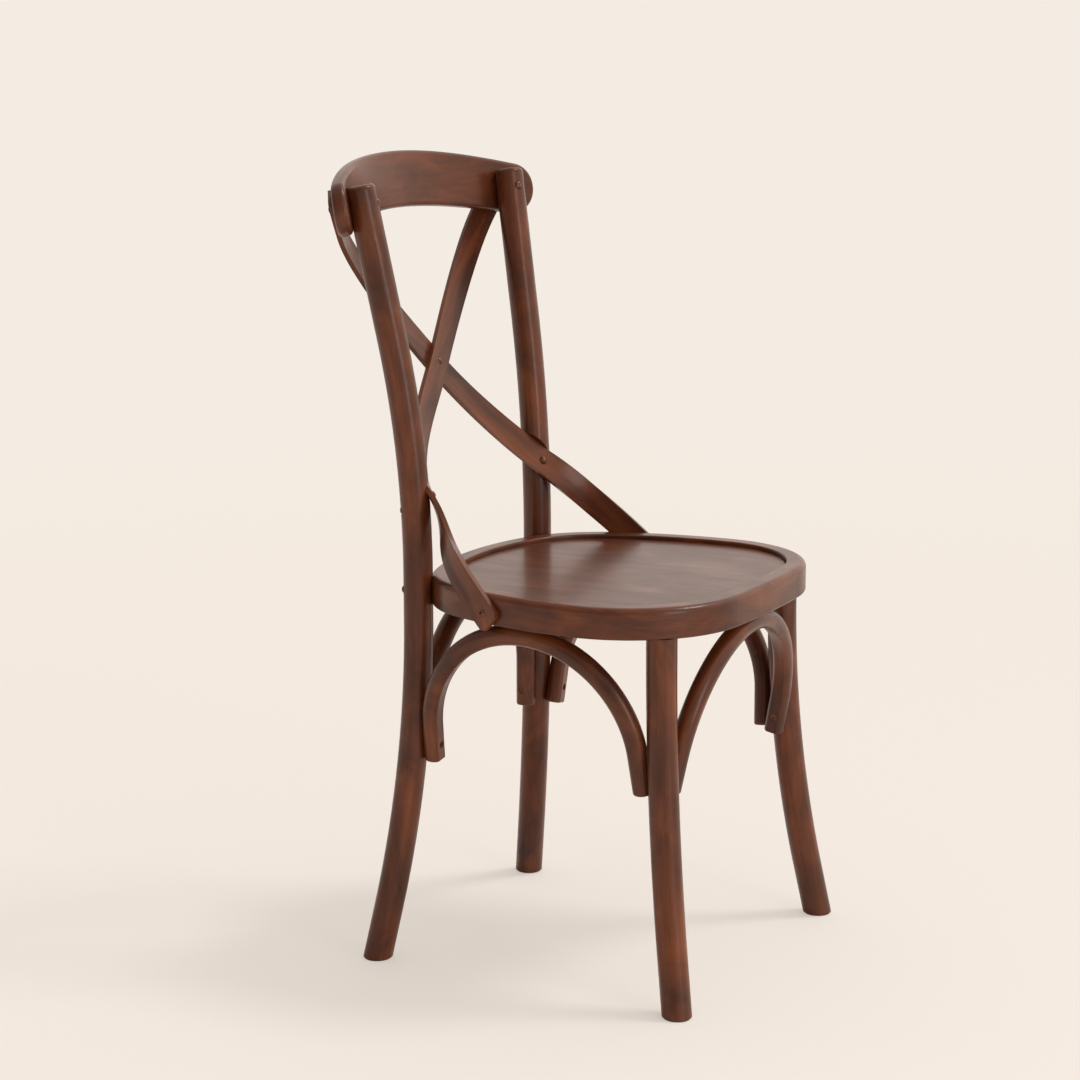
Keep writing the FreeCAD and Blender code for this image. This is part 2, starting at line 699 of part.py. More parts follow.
def lath_section(body, name, place, width, thick):
    # Cross-section square to the lath: width along the sketch's X, thickness along its Y.
    spot, normal, way = place
    turn = Rotation(normal.cross(way), normal, way, "ZYX")
    sketch = new_sketch(body, name, "XY_Plane", body.Placement.inverse() * Placement(spot, turn))
    half_w = width[1] / 2
    half_t = thick[1] / 2
    corners = [Vector(-half_w, -half_t, 0), Vector(half_w, -half_t, 0),
               Vector(half_w, half_t, 0), Vector(-half_w, half_t, 0)]
    for first in range(4):
        sketch.addGeometry(Part.LineSegment(corners[first], corners[(first + 1) % 4]))
    for first in range(4):
        sketch.addConstraint(Sketcher.Constraint("Coincident", first, 2, (first + 1) % 4, 1))
    sketch.addConstraint(Sketcher.Constraint("Horizontal", 0))
    sketch.addConstraint(Sketcher.Constraint("Vertical", 1))
    sketch.addConstraint(Sketcher.Constraint("Horizontal", 2))
    sketch.addConstraint(Sketcher.Constraint("Vertical", 3))
    sketch.addConstraint(Sketcher.Constraint("Symmetric", 0, 1, 1, 2, -1, 1))
    bind(sketch, "DistanceX", 0, 1, 0, 2, to=width)
    bind(sketch, "DistanceY", 1, 1, 1, 2, to=thick)
    return sketch


def strap_slot(body, side):
    # Housing that lets the tilted strap into a post, open to the front.
    stations = strap_stations(side, side)
    shift = (size("strap_thick") - size("strap_slot")) / 2 + size("strap_ease")
    sections = []
    for number in range(grip_station - 2, grip_station + 3):
        spot, normal, way = stations[number]
        place = (spot + normal * shift, normal, way)
        width = link("strap_width", "strap_ease", "strap_ease")
        sections.append(lath_section(body, "slot%02d" % number, place, width, link("strap_slot")))
    doc.recompute()
    slot = body.newObject("PartDesign::SubtractiveLoft", "strapSlot")
    slot.Profile = sections[0]
    slot.Sections = [(section, [""]) for section in sections[1:]]
    slot.Refine = False
    doc.recompute()


def cross_strap(label, side, layer):
    # Bent and twisted lath, wound from the rail's back to the outside of the seat frame.
    body = new_body(label)
    stations = strap_stations(side, layer)
    width, thickness = link("strap_width"), link("strap_thick")
    sections = [lath_section(body, "section%02d" % number, station, width, thickness)
                for number, station in enumerate(stations)]
    doc.recompute()
    loft = body.newObject("PartDesign::AdditiveLoft", "lath")
    loft.Profile = sections[0]
    loft.Sections = [(section, [""]) for section in sections[1:]]
    doc.recompute()
    thick = size("strap_thick")

    def end_corner(edge):
        if abs(edge.Length - thick) > near:
            return False
        middle = edge.CenterOfMass
        ends = (stations[0][0], stations[-1][0])
        return min((middle - end).Length for end in ends) < size("strap_width")

    round_edges(body, "clippedCorners", end_corner, "strap_clip", "PartDesign::Chamfer")
    hole = link("bolt_radius", "bolt_ease")
    knots = strap_knots(side, layer)
    sleeve = link("nut_sleeve_radius", "bolt_ease")
    drill(body, "crestHole", knots[1][0] - knots[1][1] * thick, knots[1][1], sleeve, 2 * thick)
    drill(body, "rivetHole", knots[3][0] - knots[3][1] * thick, knots[3][1],
          link("rivet_radius", "screw_ease"), 2 * thick)
    drill(body, "postHole", knots[4][0] - knots[4][1] * thick, knots[4][1], hole, 2 * thick)
    drill(body, "screwHole", knots[5][0] - knots[5][1] * thick, knots[5][1],
          link("screw_radius", "screw_ease"), 2 * thick)
    return body


def crest_rail():
    # Bent plank: a curved band, crowned above and below, with rounded ends.
    frame = rail_frame()
    body = new_body("crest_rail", frame)
    inner = size("rail_radius")
    outer = inner + size("rail_thick")
    end_angle = math.asin(size("rail_half_width") / inner)
    first = math.pi / 2 - end_angle
    last = math.pi / 2 + end_angle
    band = new_sketch(body, "band", "XY_Plane")
    band.addGeometry(Part.ArcOfCircle(Part.Circle(Vector(), up, inner), first, last))
    band.addGeometry(Part.ArcOfCircle(Part.Circle(Vector(), up, outer), first, last))
    for angle in (first, last):
        out = Vector(math.cos(angle), math.sin(angle), 0)
        band.addGeometry(Part.LineSegment(out * inner, out * outer))
    for line, end in ((2, 1), (3, 2)):
        band.addConstraint(Sketcher.Constraint("Coincident", 0, end, line, 1))
        band.addConstraint(Sketcher.Constraint("Coincident", 1, end, line, 2))
        band.addConstraint(Sketcher.Constraint("PointOnObject", -1, 1, line))
    band.addConstraint(Sketcher.Constraint("Coincident", 0, 3, -1, 1))
    band.addConstraint(Sketcher.Constraint("Coincident", 1, 3, -1, 1))
    bind(band, "Radius", 0, to=link("rail_radius"))
    bind(band, "Radius", 1, to=link("rail_radius", "rail_thick"))
    bind(band, "DistanceX", -1, 1, 2, 1, to=link("rail_half_width"))
    bind(band, "DistanceX", 3, 1, -1, 1, to=link("rail_half_width"))
    pad = body.newObject("PartDesign::Pad", "plank")
    pad.Profile = band
    pad.setExpression("Length", "4 * Sizes.rail_height")
    pad.Midplane = True
    crown_cut(body, "underCrown", "rail_under_curve", link("rail_top", "-rail_height"), -1)
    crown_cut(body, "topCrown", "rail_top_curve", link("rail_top"), 1)

    def rail_end(edge):
        inner_limit = size("rail_half_width") - size("rail_end_round")
        return abs(edge.Length - size("rail_thick")) < loose and abs(edge.CenterOfMass.x) > inner_limit

    round_edges(body, "endCorners", rail_end, "rail_end_round")

    def face_edge(edge):
        # Edges of the rail's front and back faces.
        spots = [edge.valueAt(edge.FirstParameter + (edge.LastParameter - edge.FirstParameter) * part)
                 for part in (0, 0.5, 1)]
        radii = [math.hypot(spot.x, spot.y) for spot in spots]
        return any(all(abs(radius - face) < near for radius in radii) for face in (inner, outer))

    round_edges(body, "faceEdges", face_edge, "rail_edge_round")
    for name, side in sides:
        top, way = post_point(side, size("post_height"))
        depth = size("rail_height") * 2
        start = top + way * size("seat_ease") - way * depth
        drill(body, name + "Housing", start, way, link("post_top_radius", "seat_ease"), depth)
        spot, normal = rail_point(side, crest_angle(), 0, inner)
        thick = size("rail_thick")
        drill(body, name + "BoltHole", spot - normal * thick, normal,
              link("bolt_radius", "bolt_ease"), 3 * thick)
        spare = size("drill_spare")
        drill(body, name + "SleeveHole", spot + normal * (thick + spare), normal * -1,
              link("nut_sleeve_radius", "bolt_ease"), size("nut_sleeve") - size("strap_thick") + spare)
    return body


def crown_cut(body, name, curve, height, way):
    # Trims the plank to an arc in elevation; way is 1 above the arc and -1 below it.
    radius = size(curve)
    half = size("rail_half_width") + size("rail_height")
    drop = math.sqrt(radius ** 2 - half ** 2)
    center = Vector(0, height[1] - radius, 0)
    right = Vector(half, center.y + drop, 0)
    left = Vector(-half, center.y + drop, 0)
    far = height[1] + way * 3 * size("rail_height")
    sketch = new_sketch(body, name + "Sketch", "XZ_Plane")
    angle = math.acos(half / radius)
    sketch.addGeometry(Part.ArcOfCircle(Part.Circle(center, up, radius), angle, math.pi - angle))
    points = [left, Vector(-half, far, 0), Vector(half, far, 0), right]
    for first in range(3):
        sketch.addGeometry(Part.LineSegment(points[first], points[first + 1]))
    sketch.addConstraint(Sketcher.Constraint("Coincident", 0, 2, 1, 1))
    sketch.addConstraint(Sketcher.Constraint("Coincident", 1, 2, 2, 1))
    sketch.addConstraint(Sketcher.Constraint("Coincident", 2, 2, 3, 1))
    sketch.addConstraint(Sketcher.Constraint("Coincident", 3, 2, 0, 1))
    sketch.addConstraint(Sketcher.Constraint("Vertical", 1))
    sketch.addConstraint(Sketcher.Constraint("Horizontal", 2))
    sketch.addConstraint(Sketcher.Constraint("Vertical", 3))
    sketch.addConstraint(Sketcher.Constraint("PointOnObject", 0, 3, -2))
    sketch.addConstraint(Sketcher.Constraint("DistanceX", -1, 1, 2, 2, half))
    sketch.addConstraint(Sketcher.Constraint("DistanceX", 2, 1, -1, 1, half))
    sketch.addConstraint(Sketcher.Constraint("DistanceY", -1, 1, 2, 1, far))
    bind(sketch, "Radius", 0, to=link(curve))
    bind(sketch, "DistanceY", -1, 1, 0, 3, to=("%s-Sizes.%s" % (height[0], curve), center.y))
    pocket = body.newObject("PartDesign::Pocket", name)
    pocket.Profile = sketch
    pocket.Type = 1
    pocket.Midplane = True
    doc.recompute()


# Seat frame and panel.

def outline_edge(inset, height):
    # Test for edges at one level that follow the seat outline, moved inwards by an inset.
    arcs = ((front_center, "front_curve"), (front_corner_center, "front_corner"),
            (side_center, "side_curve"), (back_corner_center, "back_corner"), (back_center, "back_curve"))

    def test(edge):
        spot = edge.valueAt((edge.FirstParameter + edge.LastParameter) / 2)
        flat = Vector(abs(spot.x), spot.y, 0)
        miss = min(abs((flat - center).Length - size(alias) + inset) for center, alias in arcs)
        return miss < hair and all(abs(level - height) < hair for level in (spot.z, edge.Vertexes[0].Z))

    return test


def seat_frame():
    body = new_body("seat_frame")
    base = Placement(Vector(0, 0, seat_under), Rotation())
    pad = body.newObject("PartDesign::Pad", "hoop")
    pad.Profile = hoop_sketch(body, "outline", None, base)
    pad.setExpression("Length", link("rim_height")[0])
    doc.recompute()
    top = Placement(Vector(0, 0, size("seat_height")), Rotation())
    opening = body.newObject("PartDesign::Pocket", "opening")
    opening.Profile = hoop_sketch(body, "openingOutline", "rim_width", top)
    opening.Type = 1
    doc.recompute()
    rebate = body.newObject("PartDesign::Pocket", "rebate")
    rebate.Profile = hoop_sketch(body, "rebateOutline", "rim_lip", top)
    rebate.setExpression("Length", link("panel_drop", "panel_thick")[0])
    doc.recompute()

    round_edges(body, "topEdge", outline_edge(0, size("seat_height")), "rim_top_round")
    round_edges(body, "lowerEdge", outline_edge(0, seat_under), "rim_under_round")
    round_edges(body, "lipEdge", outline_edge(size("rim_lip"), size("seat_height")), "rim_lip_round")
    under = link("seat_height", "-rim_height")
    level_holes(body, "mortises", [leg_base(side) for name, side in sides],
                link("tenon_radius", "tenon_ease"), link("tenon_length", "seat_ease"), under)
    level_holes(body, "postNotches", [post_base(side) for name, side in sides],
                link("post_seat_radius", "seat_ease"), link("rim_height"), under)
    pilot = link("screw_radius", "screw_ease")
    level_holes(body, "archPilots", [spot for spot, way in arch_top_screws()],
                pilot, link("arch_screw_length", "-arch_flat", "-arch_flat"), under)
    spots = panel_screw_spots()
    level_holes(body, "panelScrewMouths", spots, link("screw_head_radius", "screw_ease"),
                link("screw_sink"), under)
    level_holes(body, "panelPilots", spots, pilot, link("rim_height"), under)
    for number, spot in enumerate(spots):
        screw_cone(body, "panelScrewCone%d" % number, spot, up)
    for name, side in sides:
        spot, normal = rim_side_point(side, size("strap_screw_back"), size("strap_screw_height"), 0)
        reach = size("strap_screw_length")
        drill(body, name + "StrapScrewHole", spot + normal, normal * -1, pilot, reach)
        start, way = seat_bolt_line(side)
        inner = start + way * (2 * size("post_seat_radius"))
        deep = size("insert_depth") + size("insert_length")
        drill(body, name + "InsertHole", inner, way, link("insert_radius", "screw_ease"), deep)
        end = deep + size("insert_thread_room")
        drill(body, name + "BoltEnd", inner, way, link("bolt_radius", "bolt_ease"), end)
    return body


def seat_panel():
    body = new_body("seat_panel")
    floor = size("seat_height") - size("panel_drop") - size("panel_thick")
    base = Placement(Vector(0, 0, floor), Rotation())
    pad = body.newObject("PartDesign::Pad", "board")
    pad.Profile = panel_sketch(body, base)
    pad.setExpression("Length", link("panel_thick")[0])
    doc.recompute()

    def on_top(edge):
        return all(abs(vertex.Z - floor - size("panel_thick")) < hair for vertex in edge.Vertexes)

    round_edges(body, "topEdge", on_top, "panel_round")
    depth = link("panel_screw_length", "screw_sink", "screw_ease", "-rim_height", "panel_drop", "panel_thick")
    under = link("seat_height", "-panel_drop", "-panel_thick")
    level_holes(body, "pilots", panel_screw_spots(), link("screw_radius", "screw_ease"), depth, under)
    return body


def panel_sketch(body, base):
    sketch = hoop_sketch(body, "boardOutline", "rim_lip", base)
    for index, constraint in enumerate(sketch.Constraints):
        if constraint.Type == "Radius":
            path = "Constraints[%d]" % index
            text = [entry[1] for entry in sketch.ExpressionEngine if entry[0].endswith(path)][0]
            sketch.setExpression(path, "(%s)-Sizes.panel_ease" % text)
    return sketch


def panel_screw_spots():
    # Four screws through the ledge under the panel, near its front and back.
    inset = (size("rim_lip") + size("rim_width")) / 2
    spread = size("panel_screw_spread")
    spots = []
    for side in (1, -1):
        front = size("front_curve") - inset
        back = size("back_curve") - inset
        spots.append(Vector(side * spread, front_center.y - math.sqrt(front ** 2 - spread ** 2), seat_under))
        spots.append(Vector(side * spread, back_center.y + math.sqrt(back ** 2 - spread ** 2), seat_under))
    return spots


def seat_bolt_line(side):
    # Starts on the back of the post and runs square to the notch, into the seat frame.
    way = heading(side, size("post_angle")) * -1
    base = post_base(side) + up * (seat_under + size("rim_height") / 2)
    return base - way * size("post_seat_radius"), way


# Arches: bent rods between neighbouring legs, screwed to the legs and to the seat frame.

def arch_ends(kind):
    grip = size("arch_grip_height")
    if kind == "front":
        return leg_point(1, grip), leg_point(-1, grip)
    if kind == "rear":
        return post_point(1, grip), post_point(-1, grip)
    side = 1 if kind == "left_side" else -1
    return leg_point(side, grip), post_point(side, grip)


def arch_top(kind, middle):
    # Middle of the seat frame's underside above the arch.
    half = size("rim_width") / 2
    if kind == "front":
        return Vector(0, front_y + half, seat_under)
    if kind == "rear":
        return Vector(0, back_y - half, seat_under)
    side = 1 if kind == "left_side" else -1
    y = middle.y
    radius = size("side_curve") - half
    return Vector(side * (side_center.x + math.sqrt(radius ** 2 - (y - side_center.y) ** 2)), y, seat_under)


def arch_layout(kind):
    # Frame of the arch's plane and the places of its arcs in that plane.
    (first, first_way), (second, second_way) = arch_ends(kind)
    middle = (first + second) * 0.5
    along = (first - second).normalize()
    top = arch_top(kind, middle)
    rise = top - middle
    rise = rise - along * rise.dot(along)
    height = Vector(rise).normalize()
    turn = Rotation(along, height.cross(along), height, "XZY")
    frame = Placement(middle, turn)
    leg_radius = size("leg_top_radius") if kind != "rear" else size("post_seat_radius")
    other = size("post_seat_radius") if kind != "front" else size("leg_top_radius")
    reach = max(leg_radius, other) + size("arch_radius") - size("arch_notch")
    half_span = (first - second).Length / 2 - reach
    lean = math.asin(abs((first_way - second_way).dot(along)) / 2)
    crown = (seat_under - size("seat_ease") - size("arch_radius") - middle.z) / height.z
    return frame, half_span, lean, crown


def arch(kind, label):
    # One arc that touches both limbs, and the limbs' straight ends along the legs.
    frame, half_span, lean, crown = arch_layout(kind)
    body = new_body(label, frame)
    tip = size("arch_limb")
    radius = (half_span * math.cos(lean) - crown * math.sin(lean)) / (1 - math.sin(lean))
    center = Vector(0, crown - radius, 0)
    limb_top = center + Vector(math.cos(lean), math.sin(lean), 0) * radius
    limb_end = Vector(half_span + tip * math.sin(lean), -tip * math.cos(lean), 0)
    path = new_sketch(body, "path", "XZ_Plane")
    path.addGeometry(Part.LineSegment(limb_end, limb_top))
    path.addGeometry(Part.ArcOfCircle(Part.Circle(center, up, radius), lean, math.pi - lean))
    path.addGeometry(Part.LineSegment(mirrored(limb_top), mirrored(limb_end)))
    path.addConstraint(Sketcher.Constraint("Tangent", 0, 2, 1, 1))
    path.addConstraint(Sketcher.Constraint("Tangent", 1, 2, 2, 1))
    path.addConstraint(Sketcher.Constraint("PointOnObject", 1, 3, -2))
    for line, end, spot in ((0, 1, limb_end), (2, 2, mirrored(limb_end))):
        path.addConstraint(Sketcher.Constraint("DistanceX", -1, 1, line, end, spot.x))
        path.addConstraint(Sketcher.Constraint("DistanceY", -1, 1, line, end, spot.y))
    path.addConstraint(Sketcher.Constraint("Radius", 1, radius))
    doc.recompute()
    section = body.newObject("Sketcher::SketchObject", "section")
    section.AttachmentSupport = [(path, "Edge1")]
    section.MapMode = "NormalToEdge"
    section.MapPathParameter = 0.0
    doc.recompute()
    arch_section(section)
    rod = body.newObject("PartDesign::AdditivePipe", "rod")
    rod.Profile = section
    rod.Spine = (path, ["Edge1", "Edge2", "Edge3"])
    doc.recompute()
    end_rounds(body, limb_end, lean)
    for number, (start, way) in enumerate(arch_end_screws(kind)):
        countersink(body, "endScrew%d" % number, start, way)
    for number, (start, way) in enumerate(arch_top_screw(kind)):
        countersink(body, "topScrew%d" % number, start, way)
    length = 6 * size("arch_limb")
    for number, (spot, way) in enumerate(arch_ends(kind)):
        radius = leg_radius_link(kind, number)
        drill(body, "legSeat%d" % number, spot - way * length, way, radius, 2 * length)
    return body


def leg_radius_link(kind, number):
    on_post = kind == "rear" or (kind != "front" and number == 1)
    return link("post_seat_radius" if on_post else "leg_top_radius", "seat_ease")


def arch_section(section):
    # Round outside and a flat inner side, which faces the arch's middle.
    local = section.Placement.Rotation.inverted()
    inward = local.multVec(Vector(-1, 0, 0))
    angle = math.atan2(inward.y, inward.x)
    radius = size("arch_radius")
    flat = size("arch_flat")
    open_half = math.acos(flat / radius)
    last = angle - open_half + 2 * math.pi
    curve = Part.ArcOfCircle(Part.Circle(Vector(), up, radius), angle + open_half, last)
    section.addGeometry(curve)
    section.addGeometry(Part.LineSegment(curve.EndPoint, curve.StartPoint))
    section.addConstraint(Sketcher.Constraint("Coincident", 0, 2, 1, 1))
    section.addConstraint(Sketcher.Constraint("Coincident", 1, 2, 0, 1))
    section.addConstraint(Sketcher.Constraint("Coincident", 0, 3, -1, 1))
    bind(section, "Radius", 0, to=link("arch_radius"))
    bind(section, "Distance", 0, 3, 1, to=link("arch_flat"))
    straight = abs(inward.x) > abs(inward.y)
    section.addConstraint(Sketcher.Constraint("Vertical" if straight else "Horizontal", 1))
    doc.recompute()


def end_rounds(body, limb_end, lean):
    reach = end_reach * size("arch_radius")
    ends = [Vector(side * limb_end.x, 0, limb_end.y) for side in (1, -1)]
    axis = [Vector(side * math.sin(lean), 0, -math.cos(lean)) for side in (1, -1)]

    def at_end(edge):
        for end, way in zip(ends, axis):
            if all(abs((vertex.Point - end).dot(way)) < near and (vertex.Point - end).Length < reach
                   for vertex in edge.Vertexes):
                return True
        return False

    round_edges(body, "limbEnds", at_end, "arch_end_round")


def arch_end_screws(kind):
    # From the flat inner side of each limb, level with the grip, into the leg.
    frame, half_span, lean = arch_layout(kind)[:3]
    lines = []
    for side in (1, -1):
        out = Vector(side * math.cos(lean), 0, math.sin(lean))
        start = Vector(side * half_span, 0, 0) - out * size("arch_flat")
        lines.append((frame.multVec(start), frame.Rotation.multVec(out)))
    return lines


def arch_top_screw(kind):
    # From the flat underside of the arch's crown, up into the seat frame.
    layout = arch_layout(kind)
    start = layout[0].multVec(Vector(0, 0, layout[3] - size("arch_flat")))
    return [(start, up)]


def arch_top_screws():
    return [line for kind in arch_kinds for line in arch_top_screw(kind)]


def leg_arch_holes(body, side_name, side, rear):
    # Pilot holes for the two arches that grip this leg.
    kinds = ("rear" if rear else "front", side_name + "_side")
    axis_point = post_point if rear else leg_point
    grip = axis_point(side, size("arch_grip_height"))[0]
    depth = size("arch_screw_length") + size("screw_sink") + size("screw_ease")
    for kind in kinds:
        for number, (start, way) in enumerate(arch_end_screws(kind)):
            if (start - grip).Length < 4 * size("arch_radius"):
                name = "archPilot_%s_%d" % (kind, number)
                drill(body, name, start, way, link("screw_radius", "screw_ease"), depth)


def post_holes(body, side):
    # Crest bolt, strap bolt with its nut, and seat bolt.
    long_way = 4 * size("post_seat_radius")
    spare = size("drill_spare")
    hole = link("bolt_radius", "bolt_ease")
    crest, crest_way = post_point(side, size("crest_bolt_height"))[0], crest_axis(side)
    drill(body, "crestHole", crest - crest_way * long_way / 2, crest_way, hole, long_way)
    spot = size("spot_depth")
    head = link("bolt_head_radius", "bolt_ease")
    front = crest - crest_way * (size("post_top_radius") - spot)
    drill(body, "crestSpot", front, crest_way * -1, head, 2 * spot + spare)
    post, way = post_point(side, size("strap_bolt_height"))[0], strap_bolt_axis(side)
    drill(body, "strapHole", post - way * long_way / 2, way, hole, long_way)
    back = post + way * (size("post_seat_radius") - spot)
    drill(body, "nutSpot", back, way, link("nut_radius", "bolt_ease"), 3 * spot + spare)
    sleeve = link("nut_sleeve_radius", "bolt_ease")
    drill(body, "nutSleeve", back, way * -1, sleeve, size("nut_sleeve") + spare)
    start, seat_way = seat_bolt_line(side)
    drill(body, "seatBoltHole", start - seat_way, seat_way, hole, long_way)
    drill(body, "seatSpot", start + seat_way * spot, seat_way * -1, head, 2 * spot + spare)


# Fasteners: turned pieces, each made once about the Z axis and then set in place.

def turned(name, outline):
    # Outline points are (radius, height) links, clockwise from the top of the axis.
    # A third entry is the centre of the dome that bends the edge to the next point.
    body = new_body(name)
    sketch = new_sketch(body, name + "Outline", "XZ_Plane")
    points = [Vector(radius[1], height[1], 0) for radius, height, center in outline]
    count = len(points)
    for number, (radius, height, center) in enumerate(outline):
        start, end = points[number], points[(number + 1) % count]
        if center:
            circle = Part.Circle(center, up, (start - center).Length)
            sketch.addGeometry(Part.ArcOfCircle(circle, bearing(center, end), bearing(center, start)))
        else:
            sketch.addGeometry(Part.LineSegment(start, end))
    for number, (radius, height, center) in enumerate(outline):
        following = (number + 1) % count
        begin, finish = (2, 1) if center else (1, 2)
        next_begin = 2 if outline[following][2] else 1
        sketch.addConstraint(Sketcher.Constraint("Coincident", number, finish, following, next_begin))
        if radius[0]:
            bind(sketch, "DistanceX", -1, 1, number, begin, to=radius)
        else:
            sketch.addConstraint(Sketcher.Constraint("PointOnObject", number, begin, -2))
        if height[0]:
            bind(sketch, "DistanceY", -1, 1, number, begin, to=height)
        else:
            sketch.addConstraint(Sketcher.Constraint("PointOnObject", number, begin, -1))
        if center:
            sketch.addConstraint(Sketcher.Constraint("PointOnObject", number, 3, -2))
    doc.recompute()
    spin = body.newObject("PartDesign::Revolution", name + "Turned")
    spin.Profile = sketch
    spin.ReferenceAxis = (sketch, ["V_Axis"])
    spin.Angle = 360
    doc.recompute()
    return body


nothing = ("", 0)


def dome_center(radius, rise):
    # Centre of the dome that falls from (0, rise) to (radius, 0).
    return Vector(0, rise - (radius ** 2 + rise ** 2) / (2 * rise), 0)


def dome_fastener(name, head, rise, shank, length):
    # Dome head on z = 0 and a shank below it; length is a link and its value.
    return turned(name, [
        (nothing, link(rise), dome_center(size(head), size(rise))),
        (link(head), nothing, None),
        (link(shank), nothing, None),
        (link(shank), ("-(%s)" % length[0], -length[1]), None),
        (nothing, ("-(%s)" % length[0], -length[1]), None),
    ])


def dimpled_fastener(name, head, rise, shank, length):
    # The same with a round drive recess in its head.
    center = dome_center(size(head), size(rise))
    curve = size(rise) - center.y
    rim = math.sqrt(curve ** 2 - size("drive_radius") ** 2) + center.y
    low = rim - size("drive_depth")
    return turned(name, [
        (nothing, (str(low), low), None),
        (link("drive_radius"), (str(low), low), None),
        (link("drive_radius"), (str(rim), rim), center),
        (link(head), nothing, None),
        (link(shank), nothing, None),
        (link(shank), ("-(%s)" % length[0], -length[1]), None),
        (nothing, ("-(%s)" % length[0], -length[1]), None),
    ])


def cap_nut(name):
    # Dome with a sleeve below it, bored from the sleeve's end.
    bore = link("bolt_radius", "screw_ease")
    sleeve = link("-nut_sleeve")
    return turned(name, [
        (nothing, link("nut_rise"), dome_center(size("nut_radius"), size("nut_rise"))),
        (link("nut_radius"), nothing, None),
        (link("nut_sleeve_radius"), nothing, None),
        (link("nut_sleeve_radius"), sleeve, None),
        (bore, sleeve, None),
        (bore, link("-screw_ease"), None),
        (nothing, link("-screw_ease"), None),
    ])


def wood_screw(name, length):
    # Countersunk head whose flat top lies at z = 0, with a drive recess.
    head = link("screw_head_radius")
    return turned(name, [
        (nothing, link("-drive_depth"), None),
        (link("drive_radius"), link("-drive_depth"), None),
        (link("drive_radius"), nothing, None),
        (head, nothing, None),
        (link("screw_radius"), link("-screw_head_height"), None),
        (link("screw_radius"), link("-" + length), None),
        (nothing, link("-" + length), None),
    ])


def ring(name, outer, inner, thick):
    # Tube from z = 0 down.
    return turned(name, [
        (link(inner), nothing, None),
        (link(outer), nothing, None),
        (link(outer), link("-" + thick), None),
        (link(inner), link("-" + thick), None),
    ])


def set_in_place(label, master, lines):
    # Copies of a turned piece: its head's seat goes to a point and its shank along a direction.
    pieces = []
    for start, way in lines:
        piece = master.Shape.copy()
        piece.Placement = Placement(start, Rotation(down, way))
        pieces.append(piece)
    group = doc.addObject("Part::Feature", label)
    group.Label = label
    group.Shape = Part.makeCompound(pieces)
    return group


def crest_lines(stand_off):
    lines = []
    for name, side in sides:
        way = crest_axis(side)
        post = post_point(side, size("crest_bolt_height"))[0]
        lines.append((post + way * stand_off, way))
    return lines


def strap_lines(stand_off):
    lines = []
    for name, side in sides:
        way = strap_bolt_axis(side)
        post = post_point(side, size("strap_bolt_height"))[0]
        lines.append((post + way * stand_off, way))
    return lines


def turned_back(lines):
    return [(start, way * -1) for start, way in lines]


